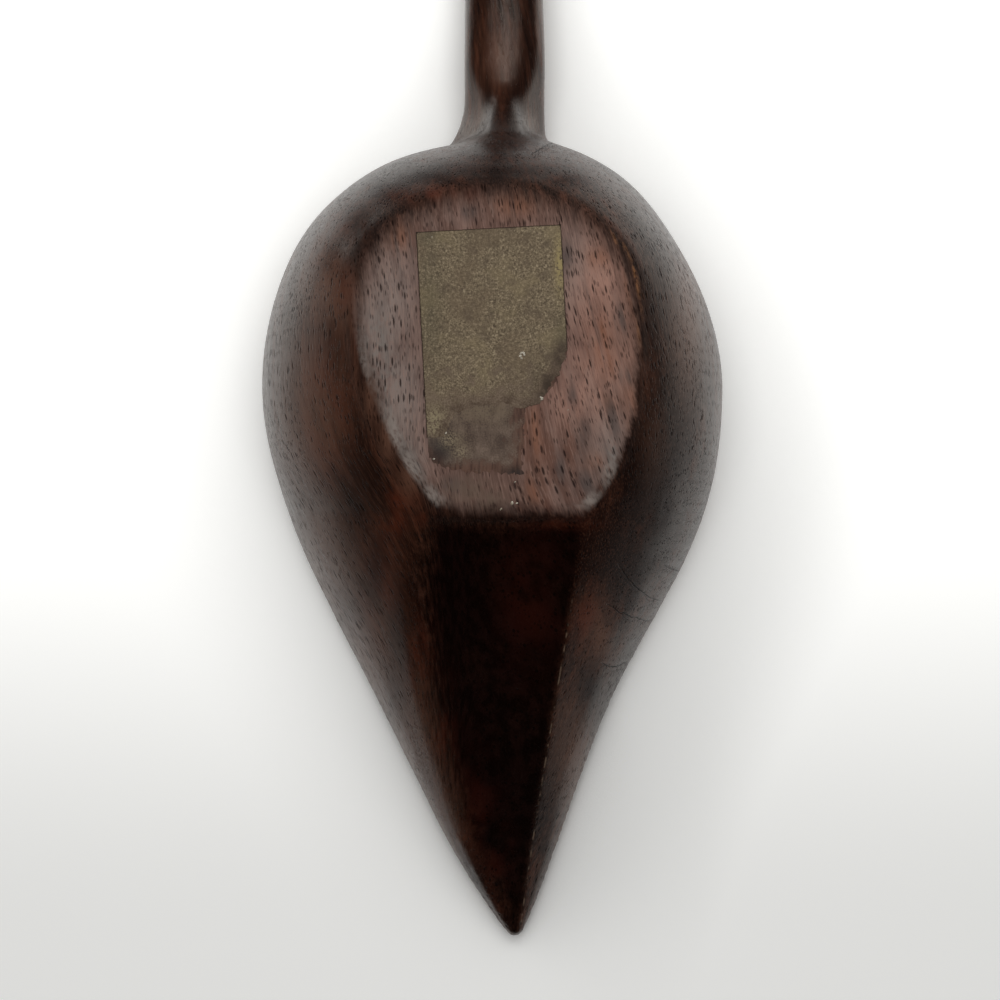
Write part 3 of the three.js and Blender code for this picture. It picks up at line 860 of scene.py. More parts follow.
def wear_layers(mesh):
    """What the material needs to know about each place on the wood."""
    places = mesh_places(mesh)
    normals = mesh_normals(mesh)
    under = normals[:, 2] < UNDER_FACING
    foot = np.full(len(places), -FAR)
    near = under & (places[:, 2] < NEAR_FOOT_Z)
    foot[near] = np.clip(foot_distance(places[near, :2]), -FAR, FAR)
    add_layer(mesh, "foot", foot)
    front = under & (places[:, 0] > FOOT_SIDE_X)
    spout = under & (places[:, 0] > FOOT_FRONT_X - 6)
    for name, side in (("left", LEFT), ("right", RIGHT)):
        share = np.full(len(places), -1.0)
        inner = np.array([across(side.edge, x) for x in places[front, 0]])
        outer = np.array([across(side.rim, max(x, WIDEST_X)) for x in places[front, 0]])
        share[front] = np.clip((places[front, 1] - inner) / (outer - inner), -1, 1.2)
        add_layer(mesh, name + "_wall", share)
        ridge = np.array([across(side.edge, x + FACET_SETBACK / 2) for x in places[spout, 0]])
        spot = np.full(len(places), FAR)
        spot[spout] = np.clip(side.sign * (places[spout, 1] - ridge), -FAR, FAR)
        add_layer(mesh, name + "_ridge", spot)
    picture = picture_points(places)
    nearest = np.full(len(places), CRACK_REACH)
    depth = np.zeros(len(places))
    for line in CRACKS:
        signed, along = line_distance(picture, line)
        close = under & (np.abs(signed) < np.abs(nearest))
        nearest[close] = signed[close]
        depth[close] = (4 * along * (1 - along))[close] ** 0.35
    add_layer(mesh, "crack", nearest)
    add_layer(mesh, "crack_depth", depth)
    for name, patches in PATCHES.items():
        add_layer(mesh, name + "_patch", np.where(under, patch_weight(picture, patches), 0))


GRAIN_SWAY = 9
SANDING_STOPS = 1.9


def wood_grain(n, flat, x, y, z):
    """Coordinates along the grain: it leans over toward the right and follows the left of the spout."""
    sway = n.noise(flat, 0.022, detail=1, colour=True)
    bend = n.vector("MULTIPLY", n.vector("SUBTRACT", sway, (0.5, 0.5, 0.5)), (0, GRAIN_SWAY, GRAIN_SWAY))
    lean = n.times(n.math("MINIMUM", x, 40.0), n.between_values(n.between(y, 8.0, -20.0), 0.07, 0.28))
    turned = n.times(n.larger(n.minus(x, 18.0), 0.0), n.between(y, 4.0, 16.0), 0.5)
    grain = n.add("ShaderNodeCombineXYZ", {"X": x, "Y": n.add_up(y, lean, turned), "Z": z}).outputs[0]
    return n.vector("ADD", grain, bend)


class Wood:
    """The noises and masks that the wood's colour, gloss and bump share."""

    def __init__(self, n):
        self.n = n
        flat = n.millimetres()
        self.x, self.y, z = n.parts(flat)
        self.grain = wood_grain(n, flat, self.x, self.y, z)
        self.bands = self.noise(0.008, 0.10, 3)
        self.streaks = self.noise(0.03, 0.75, 4)
        self.fibres = self.noise(0.35, 4.2, 3)
        self.blotches = self.noise(0.07, 0.2, 3)
        self.speckle = self.noise(0.9, 1.4, 4)
        self.patch = {name: n.layer(name + "_patch") for name in PATCHES}
        self.on_bowl = n.between(self.x, -50, -40)
        self.foot = n.layer("foot")
        # Toward the left of the spout the sanding stops short of the foot's edge
        short = n.times(n.between(self.x, -8, 10), n.between(self.y, 3, 11))
        self.inset = n.minus(self.foot, n.times(short, SANDING_STOPS))
        self.on_foot = self.sanded_share()
        self.facet = self.facet_share()
        self.warm = n.times(self.patch["red"], n.between(self.blotches, 0.34, 0.6))
        self.stain = n.times(self.patch["stain"], n.between(self.speckle, 0.22, 0.52))
        self.pore_depth = self.pores()
        crack = n.band(n.add_up(n.layer("crack"), n.swing(self.speckle, 3.5)), 0.0, 0.8)
        self.crack = n.times(crack, n.layer("crack_depth"))
        edge = n.band(n.add_up(self.inset, n.swing(self.blotches, 1.6)), 0.9, 1.7)
        self.rubbed = n.times(edge, self.patch["rubbed"], n.between(self.speckle, 0.2, 0.6))

    def noise(self, along, over, detail):
        return self.n.noise(self.n.stretched(self.grain, along, over), 1, detail)

    def sanded_share(self):
        n, x, y = self.n, self.x, self.y
        ragged = n.add_up(self.inset, n.swing(self.blotches, 1.8), n.swing(self.speckle, 1.6),
                          n.swing(self.streaks, 1.2))
        sides = n.times(n.larger(n.between(y, -4, 12), n.between(x, 18, 26)), 0.5)
        soft = n.larger(n.between(x, 6, -20), sides)
        return n.between(ragged, n.between_values(soft, -0.6, -0.8), n.between_values(soft, 1.2, 5.0))

    def facet_share(self):
        n = self.n
        left = n.add_up(n.layer("left_ridge"), n.swing(self.streaks, 6), n.swing(self.speckle, 2))
        right = n.add_up(n.layer("right_ridge"), n.swing(self.speckle, 1.5))
        begun = n.between(n.add_up(self.x, n.swing(self.speckle, 4)), 28.5, 32.5)
        return n.times(n.between(left, 1.0, -6.0), n.between(right, 0.8, -1.2), begun)

    def pores(self):
        """Open pores lie closer together in some rings, and hands have closed them on the handle."""
        n = self.n
        dense = n.between(self.noise(0.05, 0.22, 2), 0.36, 0.62)
        shares = [n.between_values(dense, 0.66, 0.16), n.between_values(dense, 0.54, 0.14)]
        wide = n.pores(n.stretched(self.grain, 0.32, 1.6), 0.34, 0.15, shares[0])
        small = n.pores(n.stretched(self.grain, 0.55, 2.9), 0.38, 0.18, shares[1])
        hair = n.pores(n.stretched(self.grain, 0.30, 3.6), 0.30, 0.12, 0.55)
        depth = n.larger(n.larger(wide, n.times(small, 0.7)), n.times(hair, 0.35))
        opened = n.between_values(self.on_bowl, 0.18, 1.0)
        return n.times(depth, opened, n.between_values(self.stain, 1.0, 0.25))

    def oiled(self):
        """Oiled wood of the bowl and handle, darkest on the facet of the spout, partly the wood's own tone
        and partly painted shade of a face turned from the light.
        """
        n, patch = self.n, self.patch
        lines = n.between_values(self.on_bowl, 0.15, 0.4)
        colour = n.coats(
            n.ramp(self.streaks, (0.30, (30, 16, 12)), (0.5, (54, 31, 22)), (0.68, (80, 47, 34))),
            (n.between(self.bands, 0.42, 0.62), 1.0, (30, 15, 11)),
            (n.between(self.fibres, 0.50, 0.64), lines, (18, 9, 7)),
            (n.between(self.fibres, 0.48, 0.34), lines, (92, 60, 45)),
            (self.warm, 0.7, (96, 44, 27)),
            (n.times(patch["brown"], n.between_values(self.streaks, 0.3, 1.2)), 0.9, (102, 70, 55)),
            # dark patches: partly the wood's own tone, partly painted shade under the neck and above the foot
            (patch["dark"], 0.65, (21, 10, 8)),
        )
        # The facet's near-black is partly the wood's own tone and partly painted shade
        facet = n.mix(n.between(self.streaks, 0.42, 0.62), srgb(9, 2, 1), srgb(21, 6, 4))
        facet = n.mix(self.warm, facet, srgb(40, 12, 7))
        return n.mix(n.times(self.facet, 0.92), colour, facet)

    def sanded(self):
        """Sanded, unoiled wood of the foot."""
        n, patch = self.n, self.patch
        cloudy = self.noise(0.16, 0.42, 4)
        mottle = n.between(n.add_up(n.times(self.blotches, 0.6), n.times(self.speckle, 0.4)), 0.40, 0.58)
        colour = n.coats(
            n.ramp(self.streaks, (0.28, (96, 73, 65)), (0.5, (122, 94, 84)), (0.72, (144, 114, 103))),
            (n.times(patch["mauve"], n.between_values(self.speckle, 0.7, 1.1)), 0.78, (162, 147, 139)),
            (patch["pink"], n.between(self.streaks, 0.1, 0.5), (190, 146, 129)),
            (self.warm, 0.62, (116, 75, 59)),
            (n.between(self.fibres, 0.50, 0.66), 0.36, (84, 62, 55)),
            (n.between(self.fibres, 0.48, 0.34), 0.44, (166, 134, 120)),
            (n.between(cloudy, 0.5, 0.66), 0.3, (96, 74, 68)),
            (n.between(cloudy, 0.48, 0.36), 0.3, (146, 122, 112)),
            (n.times(patch["orange"], n.between(self.streaks, 0.3, 0.6)), 0.6, (150, 98, 72)),
            (n.times(patch["grey"], mottle), 0.85, (138, 132, 126)),
            (n.times(patch["slate"], n.between(self.streaks, 0.34, 0.56)), 0.8, (80, 73, 71)),
        )
        return n.mix(n.times(self.stain, 0.85), colour, n.mix(cloudy, srgb(92, 75, 65), srgb(128, 108, 94)))

    def worn(self, colour):
        """Adds pores, the foot's worn edge, a painted glint along the foot's right edge, a pale broken line
        down the right ridge, and cracks.
        """
        n = self.n
        hollow = n.mix(self.on_foot, srgb(8, 4, 3), srgb(30, 21, 21))
        colour = n.mix(n.times(self.pore_depth, n.between_values(self.on_foot, 0.7, 0.85)), colour, hollow)
        # Painted glint: an orange highlight painted along the foot's right edge
        painted_glint = n.band(n.add_up(self.foot, n.swing(self.speckle, 0.9)), 0.1, 0.8)
        painted_glint = n.times(painted_glint, self.patch["painted_glint"], n.between(self.streaks, 0.34, 0.6))
        ridge = n.band(n.layer("right_ridge"), 0.0, 0.2)
        ridge = n.times(ridge, n.between(self.noise(0.5, 0.1, 4), 0.47, 0.6), n.between(self.x, 40, 50))
        return n.coats(
            colour,
            (self.rubbed, 0.8, (158, 147, 139)),
            (painted_glint, n.between(self.speckle, 0.36, 0.58), (164, 114, 76)),
            (ridge, 0.6, (132, 112, 94)),
            (self.crack, 0.9, (9, 5, 4)),
        )

    def roughness(self):
        n = self.n
        rough = n.between_values(self.on_bowl, 0.24, n.scaled(self.streaks, 0.75, 0.25))
        rough = n.add_up(rough, n.times(self.pore_depth, 0.22, n.between_values(self.facet, 1.0, 0.2)))
        matt = n.between(n.add_up(self.foot, n.swing(self.speckle, 1.6)), -2.4, 0.2)
        return n.between_values(n.times(self.rubbed, 0.5), n.between_values(matt, rough, 0.74), 0.6)

    def height(self):
        n = self.n
        hollow = n.times(self.pore_depth, n.between_values(self.facet, -0.6, -0.15))
        grown = n.add_up(n.times(self.fibres, 0.2), n.times(self.blotches, 0.5))
        return n.add_up(grown, n.times(self.crack, -2.5), hollow)

    def shine(self):
        """The wood beside the spout's facet is dry and hardly shines."""
        n = self.n
        cloud = n.swing(self.blotches, 0.3)
        right = n.add_up(n.layer("right_wall"), cloud)
        left = n.add_up(n.layer("left_wall"), cloud)
        dry_right = n.times(n.between(right, 0.98, 0.45), n.between(right, -0.1, 0.02))
        dry_left = n.times(n.between(left, 1.1, 0.4), n.between(left, -0.1, 0.02), 0.93)
        dry = n.times(n.larger(dry_left, dry_right), n.between(self.x, -4, 30), n.minus(1.0, self.facet))
        dry = n.larger(dry, n.times(self.patch["dull"], n.between_values(self.speckle, 0.7, 1.1)), clamp=True)
        return n.times(
            n.between_values(dry, 0.43, 0.05),
            n.between_values(self.patch["gloss"], 1.0, 2.4),
            n.between_values(n.larger(self.crack, self.pore_depth), 1.0, 0.3),
            n.between_values(n.between(self.fibres, 0.38, 0.62), 1.16, 0.86),
        )


def wood_material():
    made, n = material("carved_wood")
    wood = Wood(n)
    colour = wood.worn(n.mix(wood.on_foot, wood.oiled(), wood.sanded()))
    n.surface(colour, wood.roughness(), wood.height(), 0.8, 0.12, IOR=1.56,
              Specular_IOR_Level=wood.shine(), Specular_Tint=(1, 0.88, 0.78, 1))
    return made


scoop = carved_blank()
carve_surface(scoop.data)
wear_layers(scoop.data)

# Label: a torn paper sheet on a film of dried glue. Outlines are in label
# widths, the first number along it from its rear edge, the second across it.
LABEL_WIDTH = 25.4
LABEL_SHEET = 0.25
LABEL_FILM = 0.125
LABEL_CORNER_X = -20.65
LABEL_CORNER_Y = 13.5
LABEL_TURN = -3.0
TORN_CORNER = [(0.866, 1), (1.035, 0.94), (1.15, 0.85), (1.224, 0.79), (1.252, 0.689)]
SHEET_TEAR = [(1.22, 0.378), (1.252, 0.2), (1.421, 0.134), (1.421, 0)]
FILM_TEAR = [(1.469, 0.669), (1.705, 0.657), (1.673, 0.252), (1.634, 0.114), (1.559, 0.008)]
EDGE_STEP = 0.28
EDGE_GAP = 0.6
PAPER_STEP = 0.5
JITTER = 0.3
TEAR_WIDTH = 0.9
TEAR_THINNING = 0.8
THINNEST = 0.02
COCKLE_LONG = 3.1
COCKLE_SHORT = 1.2


def label_place(along, over):
    turn = math.radians(LABEL_TURN)
    x, y = along * LABEL_WIDTH, -over * LABEL_WIDTH
    return (LABEL_CORNER_X + x * math.cos(turn) - y * math.sin(turn),
            LABEL_CORNER_Y + x * math.sin(turn) + y * math.cos(turn))


def ragged_outline(corners, torn, rag, rng):
    """Points round an outline. The sides named in torn wander by up to about rag."""
    outline, tears = [], []
    count = len(corners)
    for k in range(count):
        a, b = np.array(corners[k]), np.array(corners[(k + 1) % count])
        steps = max(2, int(np.linalg.norm(b - a) / EDGE_STEP))
        normal = np.array([b[1] - a[1], a[0] - b[0]]) / np.linalg.norm(b - a)
        wander = 0.0
        for i in range(steps):
            t = i / steps
            point = mix(a, b, t)
            if k in torn:
                wander = 0.72 * wander + rng.normal() * rag * 0.42
                point = point + normal * (wander - rag * 0.5) * min(1, 6 * t, 6 * (1 - t) + 0.2)
            else:
                point = point + normal * rng.normal() * 0.02
            outline.append(point)
            tears.append(k in torn)
    return np.array(outline), np.array(tears)


def gap_to(points, others):
    """Distance to the nearest of the others, at most FAR."""
    distance = np.full(len(points), FAR)
    for other in others:
        distance = np.minimum(distance, np.hypot(*(points - other).T))
    return distance


def paper_layer(name, corners, torn, rag, low, high, relief, seed):
    """A thin closed sheet between two heights, thinner toward its torn sides."""
    rng = np.random.default_rng(seed)
    outline, tears = ragged_outline(corners, torn, rag, rng)
    span = [np.arange(outline[:, k].min(), outline[:, k].max(), PAPER_STEP) for k in (0, 1)]
    grid = np.stack(np.meshgrid(*span, indexing="ij"), -1).reshape(-1, 2)
    grid += rng.uniform(-JITTER, JITTER, grid.shape) * PAPER_STEP
    inner = grid[inside_outline(grid, outline)]
    inner = inner[np.abs(line_distance(inner, closed(outline))[0]) > EDGE_GAP * EDGE_STEP]
    points = [Vector(point) for point in np.concatenate([outline, inner])]
    loop = list(range(len(outline)))
    found, _, faces, _, _, _ = delaunay_2d_cdt(points, [], [loop], 1, 1e-4)
    flat = np.array([tuple(point) for point in found])
    gap = gap_to(flat, outline[tears])
    fade = 1 - np.clip(gap / TEAR_WIDTH, 0, 1)
    level = np.column_stack([flat, np.zeros(len(flat))])
    bumps = waves(level, COCKLE_LONG, seed) + waves(level, COCKLE_SHORT, seed + 1)
    depth = low + relief * (0.5 + 0.25 * bumps) + (high - low) * TEAR_THINNING * fade
    depth = np.clip(depth, low, high - THINNEST)
    sides = Counter(frozenset(side) for face in faces for side in zip(face, face[1:] + face[:1]))
    bm = bmesh.new()
    lower = [bm.verts.new((x * MM, y * MM, z * MM)) for (x, y), z in zip(flat, depth)]
    upper = [bm.verts.new((x * MM, y * MM, high * MM)) for x, y in flat]
    for face in faces:
        bm.faces.new([lower[i] for i in face])
        bm.faces.new([upper[i] for i in reversed(face)])
        for i, j in zip(face, face[1:] + face[:1]):
            if sides[frozenset((i, j))] == 1:
                bm.faces.new((lower[j], lower[i], upper[i], upper[j]))
    bmesh.ops.recalc_face_normals(bm, faces=bm.faces)
    made = mesh_object(name, bm)
    add_layer(made.data, "tear", np.concatenate([gap, gap]))
    cut = gap_to(flat, outline[~tears])
    add_layer(made.data, "cut", np.concatenate([cut, cut]))
    return made


def paper_material():
    made, n = material("label_paper")
    flat = n.millimetres()
    fibre = n.noise(flat, 1.9, detail=6)
    fleck = n.noise(flat, 3.6, detail=3)
    blotch = n.noise(flat, 0.12, detail=4)
    stain = n.noise(flat, 0.4, detail=5)
    tuft = n.add_up(n.times(fibre, 0.5), n.times(fleck, 0.5))
    colour = n.coats(
        n.ramp(tuft, (0.37, (92, 79, 65)), (0.47, (124, 110, 89)), (0.55, (144, 128, 104)),
               (0.63, (176, 159, 132))),
        (n.between(blotch, 0.50, 0.62), 0.45, (118, 101, 82)),
        (n.between(blotch, 0.48, 0.36), 0.4, (150, 134, 103)),
        (n.between(stain, 0.5, 0.66), 0.5, (100, 86, 72)),
    )
    # Toward its front the paper has gone and the brown backing shows
    backing = n.ramp(n.add_up(n.times(fleck, 0.5), n.times(stain, 0.5)),
                     (0.38, (95, 79, 66)), (0.5, (116, 99, 84)), (0.62, (138, 120, 102)))
    worn = n.times(n.between(n.add_up(n.parts(flat)[0], n.swing(stain, 22)), 1.5, 12.0), 0.8)
    worn = n.larger(worn, n.between(n.layer("tear"), 3.2, 0.6))
    colour = n.coats(
        n.mix(worn, colour, backing),
        (n.layer("cream"), n.between(n.add_up(tuft, n.swing(stain, 0.4)), 0.40, 0.56), (158, 145, 116)),
        (n.layer("yellow"), n.between(fibre, 0.34, 0.52), (172, 154, 108)),
        (n.layer("green"), 0.35, (84, 80, 64)),
        (n.layer("brown"), n.between(stain, 0.36, 0.56), (76, 64, 54)),
        (n.between(n.layer("cut"), 0.22, 0.05), 1.0, (52, 40, 34)),
    )
    n.surface(colour, n.scaled(fibre, 1.4, 0.44), n.add_up(fibre, n.times(fleck, 0.5)), 0.8, 0.12)
    return made


def glue_material():
    made, n = material("dried_glue")
    flat = n.millimetres()
    cloud = n.noise(flat, 0.30, detail=4)
    grit = n.noise(flat, 3.4, detail=4)
    grain = n.noise(n.stretched(flat, 0.3, 2.2), 1, detail=3)
    left_paper = n.times(n.layer("paper"), n.between(n.add_up(grit, n.swing(cloud, 0.6)), 0.34, 0.56))
    colour = n.coats(
        n.ramp(n.add_up(n.times(cloud, 0.6), n.times(grit, 0.4)),
               (0.38, (84, 69, 60)), (0.5, (108, 91, 79)), (0.62, (132, 113, 99))),
        (left_paper, 0.85, (124, 108, 88)),
        (n.between(grain, 0.5, 0.68), 0.3, (70, 54, 46)),
    )
    bare = n.between(n.add_up(n.layer("tear"), n.swing(cloud, 7), n.swing(grit, 3)), 2.6, 0.4)
    colour = n.coats(
        n.mix(bare, colour, n.ramp(grain, (0.36, (82, 59, 50)), (0.6, (112, 84, 71)))),
        (n.layer("smooth"), 0.8, (52, 47, 45)),
        (n.layer("cream"), n.between(grit, 0.40, 0.6), (150, 135, 110)),
    )
    n.surface(colour, n.scaled(grit, 0.9, 0.42), grit, 0.5, 0.1)
    return made


def crumb_material():
    made, n = material("label_crumb")
    dust = n.noise(n.millimetres(), 2.2, detail=3)
    colour = n.ramp(dust, (0.35, (150, 138, 118)), (0.6, (214, 206, 190)))
    n.surface(colour, n.scaled(dust, 1.4, 0.45), dust, 0.6, 0.08)
    return made


def dress(piece, surface, slot, *nodes):
    for face in piece.data.polygons:
        face.use_smooth = True
    piece.data.set_sharp_from_angle(angle=math.radians(50))
    piece.data.materials.clear()
    piece.data.materials.append(surface)
    if nodes:
        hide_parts(*nodes)
    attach(piece, "root")


dress(scoop, wood_material(), "carved_wood", "scoop_body")

# Pale and dark places on the label: middle and half sizes, in pixels of the photograph
CREAM = [(434, 417, 11, 10), (434, 428, 8, 7), (450, 440, 9, 7), (461, 452, 8, 6), (482, 488, 9, 4),
         (505, 490, 3, 7)]
YELLOW = [(560, 264, 5, 26)]
GREEN = [(430, 310, 12, 60), (428, 238, 14, 8), (562, 335, 8, 22)]
BROWN = [(548, 385, 14, 22), (560, 355, 8, 16)]
SMOOTH = [(441, 450, 15, 17), (515, 473, 14, 6)]
PAPER = [(480, 408, 44, 16), (455, 440, 12, 10)]

label_start = [(0, 0), (0, 1)]
sheet_corners = [label_place(*spot) for spot in label_start + TORN_CORNER + SHEET_TEAR]
film_corners = [label_place(*spot) for spot in label_start + TORN_CORNER + FILM_TEAR]
sheet = paper_layer("torn_label", sheet_corners, range(2, 10), 0.45, 0.0, LABEL_SHEET, 0.08, 11)
film_top = LABEL_SHEET + LABEL_FILM
film = paper_layer("glue_film", film_corners, range(2, 11), 0.4, LABEL_SHEET, film_top, 0.03, 12)
SHEET_LAYERS = {"cream": CREAM, "yellow": YELLOW, "green": GREEN, "brown": BROWN}
FILM_LAYERS = {"cream": CREAM, "smooth": SMOOTH, "paper": PAPER}
for piece, layers in ((sheet, SHEET_LAYERS), (film, FILM_LAYERS)):
    spots = picture_points(mesh_places(piece.data))
    for layer_name, patches in layers.items():
        add_layer(piece.data, layer_name, patch_weight(spots, patches))
dress(sheet, paper_material(), "label_paper", "label_sheet")
dress(film, glue_material(), "dried_glue", "label_glue")

# Crumbs and flakes of the old label: picture place, length and width in mm, turn, height of their bed
CRUMBS = [
    ((521.2, 353.0), 0.62, 0.40, 40, 0.05), ((520.4, 355.8), 0.66, 0.38, 90, 0.05),
    ((521.6, 358.2), 0.5, 0.34, 130, 0.05), ((523.6, 352.8), 0.6, 0.44, -30, 0.05),
    ((524.3, 355.0), 0.42, 0.36, 80, 0.05), ((542, 398.5), 0.62, 0.5, 20, 0.15),
    ((540.6, 397.2), 0.3, 0.25, 20, 0.15), ((446, 433), 0.45, 0.3, 30, 0.1),
    ((434, 459), 0.45, 0.3, 80, 0.27), ((512, 503), 0.7, 0.45, 10, 0.375), ((517, 503), 0.4, 0.3, 50, 0.375),
    ((501, 509), 0.5, 0.3, 35, 0.375), ((515, 482), 0.35, 0.25, 60, 0.375), ((432, 237), 0.35, 0.25, 0, 0.1),
    ((568, 410), 0.25, 0.2, 0, 0.375),
]
CRUMB_RELIEF = 0.22
CRUMB_HEIGHT = 0.32


def crumb_object():
    """One small lump for each crumb, half sunk in what it lies on."""
    rng = np.random.default_rng(21)
    bm = bmesh.new()
    for (px, py), length, width, turn, bed in CRUMBS:
        spread = (CAMERA_DROP + bed) / FOCAL_PIXELS
        middle = (CAMERA_X + (py - IMAGE_SIZE / 2) * spread, CAMERA_Y - (px - IMAGE_SIZE / 2) * spread, bed)
        lump = bmesh.ops.create_icosphere(bm, subdivisions=2, radius=0.5)["verts"]
        angle = math.radians(90 - turn)
        for vert in lump:
            x, y, z = vert.co * (1 + rng.uniform(-CRUMB_RELIEF, CRUMB_RELIEF))
            x, y, z = x * length, y * width, z * min(CRUMB_HEIGHT, width * 0.6)
            vert.co = Vector((middle[0] + x * math.sin(angle) - y * math.cos(angle),
                              middle[1] + x * math.cos(angle) + y * math.sin(angle), middle[2] + z)) * MM
    return mesh_object("label_crumbs", bm)


dress(crumb_object(), crumb_material(), "label_paper")


# Stage. The photograph's pale surface is above the foot-down scoop, and other
# views need a floor under it, so each plane shows only from its own side.
BACKDROP_Z = 39.4
BACKDROP_LOW = (-78, -105)
BACKDROP_HIGH = (135, 105)
FLOOR_HALF = 1500
FLOOR_GAP = 0.05
PALE = (0.86, 0.86, 0.84, 1)
FLOOR_PALE = (0.74, 0.74, 0.725, 1)
# The backdrop's glow, brighter toward the rear, and the painted shadow that ambient occlusion cuts into it
# near the scoop
LIFT_REAR = 1.08
LIFT_FRONT = 0.36
LIFT_HIGH_X = -40
LIFT_LOW_X = 110
SHADE_REACH = 36
TILT_REAR = 0.1
TILT_FRONT = 0.34
SHADE_FRONT = 4.6
SHADE_REAR = 2.6
OPENING_INSET = 2.2
OPENING_HALF = 6.0


def pale_material(name, colour, one_way, lifted=False):
    """A pale surface. one_way says what share of a ray goes through it unseen."""
    made, n = material(name)
    path = n.add("ShaderNodeLightPath").outputs
    side = n.add("ShaderNodeNewGeometry").outputs
    surface = n.add("ShaderNodeBsdfDiffuse", {"Color": colour})
    if lifted:
        surface = glow_with_painted_shadow(n, path, side, surface, colour)
    clear = n.add("ShaderNodeBsdfTransparent")
    both = n.add("ShaderNodeMixShader", {0: one_way(n, path, side["Backfacing"]), 1: surface, 2: clear})
    n.add("ShaderNodeOutputMaterial", {"Surface": both})
    return made


def glow_with_painted_shadow(n, path, side, surface, colour):
    """Adds a glow to the camera and to mirrored rays, strongest at the rear, with a painted shadow beside the
    object: ambient occlusion darkens the glow there.
    """
    seen = n.larger(n.larger(path["Is Camera Ray"], path["Is Glossy Ray"]), path["Is Transmission Ray"])
    away = n.between(n.parts(n.millimetres())[0], LIFT_LOW_X, LIFT_HIGH_X)
    # The tilted normal leans the painted shadow toward the scoop's right side, as if the light came from its
    # left
    tilt = n.add("ShaderNodeCombineXYZ", {"Y": n.between_values(away, TILT_FRONT, TILT_REAR)})
    tilted = n.vector("NORMALIZE", n.vector("ADD", side["Normal"], tilt))
    around = {"Distance": SHADE_REACH * MM, "Normal": tilted}
    open_share = n.add("ShaderNodeAmbientOcclusion", around, samples=8).outputs["AO"]
    shade = n.math("POWER", open_share, n.between_values(away, SHADE_FRONT, SHADE_REAR))
    lift = n.times(n.between_values(away, LIFT_FRONT, LIFT_REAR), shade)
    glow = n.add("ShaderNodeEmission", {"Color": colour, "Strength": n.times(seen, lift)})
    return n.add("ShaderNodeAddShader", {0: surface, 1: glow})


def stage_plane(name, corners, z, facing_up, surface):
    """A flat face through corners that run anticlockwise as seen from above."""
    bm = bmesh.new()
    verts = [bm.verts.new((x * MM, y * MM, z * MM)) for x, y in (corners if facing_up else corners[::-1])]
    bmesh.ops.triangulate(bm, faces=[bm.faces.new(verts)])
    made = mesh_object(name, bm)
    made.data.materials.append(surface)


def backdrop_corners():
    """The backdrop's outline, open where the scoop hides it, so that its hollow sees the room above."""
    steps = np.linspace(0, 1, 24)
    tip = SPOUT_X - 3 * OPENING_INSET
    opening = []
    for side in (RIGHT, LEFT):
        rim = np.concatenate([run.points(steps) for run in (side.rim_rear, *side.rim)])
        rim = rim[(rim[:, 0] > REAR_X + OPENING_INSET) & (rim[:, 0] < tip)]
        inset = [(x, y - side.sign * OPENING_INSET) for x, y in rim
                 if side.sign * (y - SPOUT_Y) > OPENING_INSET]
        opening += inset if side is RIGHT else inset[::-1]
    low, high = BACKDROP_LOW, BACKDROP_HIGH
    slot = [(low[0], HANDLE_Y - OPENING_HALF), (REAR_X, HANDLE_Y - OPENING_HALF)]
    slot_back = [(REAR_X, HANDLE_Y + OPENING_HALF), (low[0], HANDLE_Y + OPENING_HALF)]
    around = [(low[0], high[1]), (high[0], high[1]), (high[0], low[1]), (low[0], low[1])]
    return (around + slot + [tuple(spot) for spot in opening] + slot_back)[::-1]


def backdrop_clear(n, path, behind):
    return n.larger(path["Is Shadow Ray"], behind)


def floor_clear(n, path, behind):
    return n.minus(1.0, n.minus(path["Is Camera Ray"], behind, clamp=True))


backdrop_pale = pale_material("backdrop", PALE, backdrop_clear, lifted=True)
stage_plane("backdrop", backdrop_corners(), BACKDROP_Z, False, backdrop_pale)
floor_corners = [(x * FLOOR_HALF, y * FLOOR_HALF) for x, y in ((-1, -1), (1, -1), (1, 1), (-1, 1))]
stage_plane("floor", floor_corners, -FLOOR_GAP, True, pale_material("floor", FLOOR_PALE, floor_clear))


# Light: one broad soft box below the foot, leaning toward the handle, two low
# ones behind the handle, a narrow window beside the broad one that shines in the
# wood, and one over the open bowl. Each is (place, width, height, level).
LIGHT_TARGET = Vector((20, 0, 18)) * MM
SOFT_BOXES = {
    "soft_front": ((-200, 0, -660), 680, 640, 2.4),
    "soft_rear_left": ((-560, 680, -60), 420, 120, 4.2),
    "soft_rear_right": ((-560, -680, -60), 420, 120, 1.6),
    "window": ((-351, -2, -644), 70, 180, 7.0),
    "soft_top": ((60, 60, 800), 800, 700, 1.6),
}


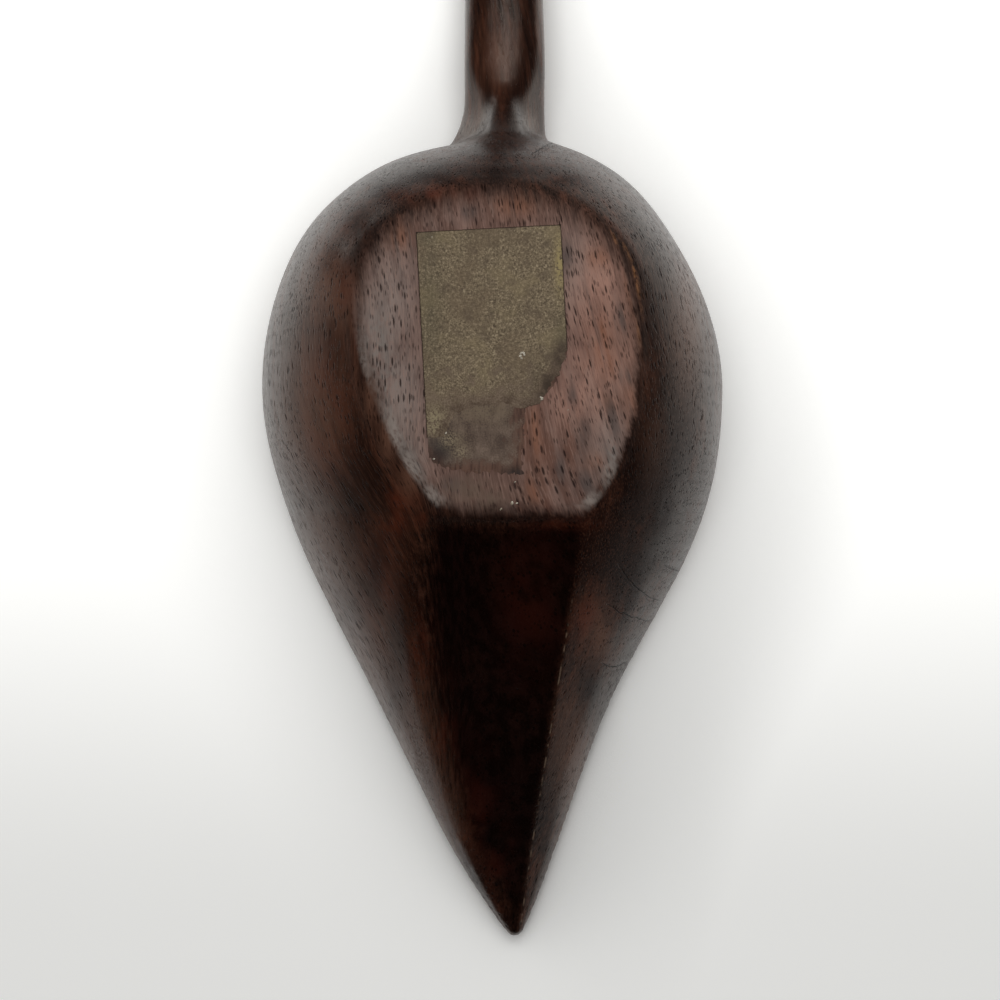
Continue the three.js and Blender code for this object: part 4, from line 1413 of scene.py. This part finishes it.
def soft_box(name, place, width, height, level):
    light = bpy.data.lights.new(name, "AREA")
    light.shape = "RECTANGLE"
    light.size = width * MM
    light.size_y = height * MM
    light.energy = level * math.pi * light.size * light.size_y
    made = scene_object(name, light)
    made.location = Vector(place) * MM
    made.rotation_euler = (LIGHT_TARGET - made.location).to_track_quat("-Z", "Y").to_euler()


for box_name, box in SOFT_BOXES.items():
    soft_box(box_name, *box)
# The broad front box stands beside the camera: it lights the wood but isn't mirrored in it
bpy.data.objects["soft_front"].visible_glossy = False


ROOM_LEVEL = 0.85
ROOM_DARK = 0.02
ROOM_COLOUR = (1.0, 0.99, 0.97, 1)


def studio_world():
    """Pale to the camera. The room it lights with is bright along the horizon and dark below."""
    world = bpy.data.worlds.new("studio")
    world.use_nodes = True
    world.node_tree.nodes.clear()
    n = Nodes(world.node_tree)
    pale = n.add("ShaderNodeBackground", {"Color": PALE, "Strength": 1.0})
    way = n.parts(n.add("ShaderNodeTexCoord").outputs["Generated"])
    side = n.between_values(n.between(way[0], -0.1, 0.75), 1.0, 0.12)
    side = n.between_values(n.between(way[2], 0.0, 0.3), side, 1.0)
    level = n.between_values(n.between(way[2], -0.28, 0.06), ROOM_DARK, ROOM_LEVEL)
    level = n.times(level, n.between_values(n.between(way[1], 0.6, -0.6), 0.8, 1.25), side)
    room = n.add("ShaderNodeBackground", {"Color": ROOM_COLOUR, "Strength": level})
    seen = n.add("ShaderNodeLightPath").outputs["Is Camera Ray"]
    n.add("ShaderNodeOutputWorld", {"Surface": n.add("ShaderNodeMixShader", {0: seen, 1: room, 2: pale})})
    bpy.context.scene.world = world


studio_world()


def photo_camera():
    camera = bpy.data.cameras.new("photo_camera")
    camera.sensor_width = SENSOR_WIDTH
    camera.lens = SENSOR_WIDTH * FOCAL_PIXELS / IMAGE_SIZE
    camera.clip_start = 10 * MM
    made = scene_object("photo_camera", camera)
    turn = Matrix(((0, -1, 0), (-1, 0, 0), (0, 0, -1)))
    made.matrix_world = Matrix.Translation((CAMERA_X * MM, CAMERA_Y * MM, -CAMERA_DROP * MM)) @ turn.to_4x4()
    bpy.context.scene.camera = made


photo_camera()
bpy.context.scene.view_settings.view_transform = "Standard"
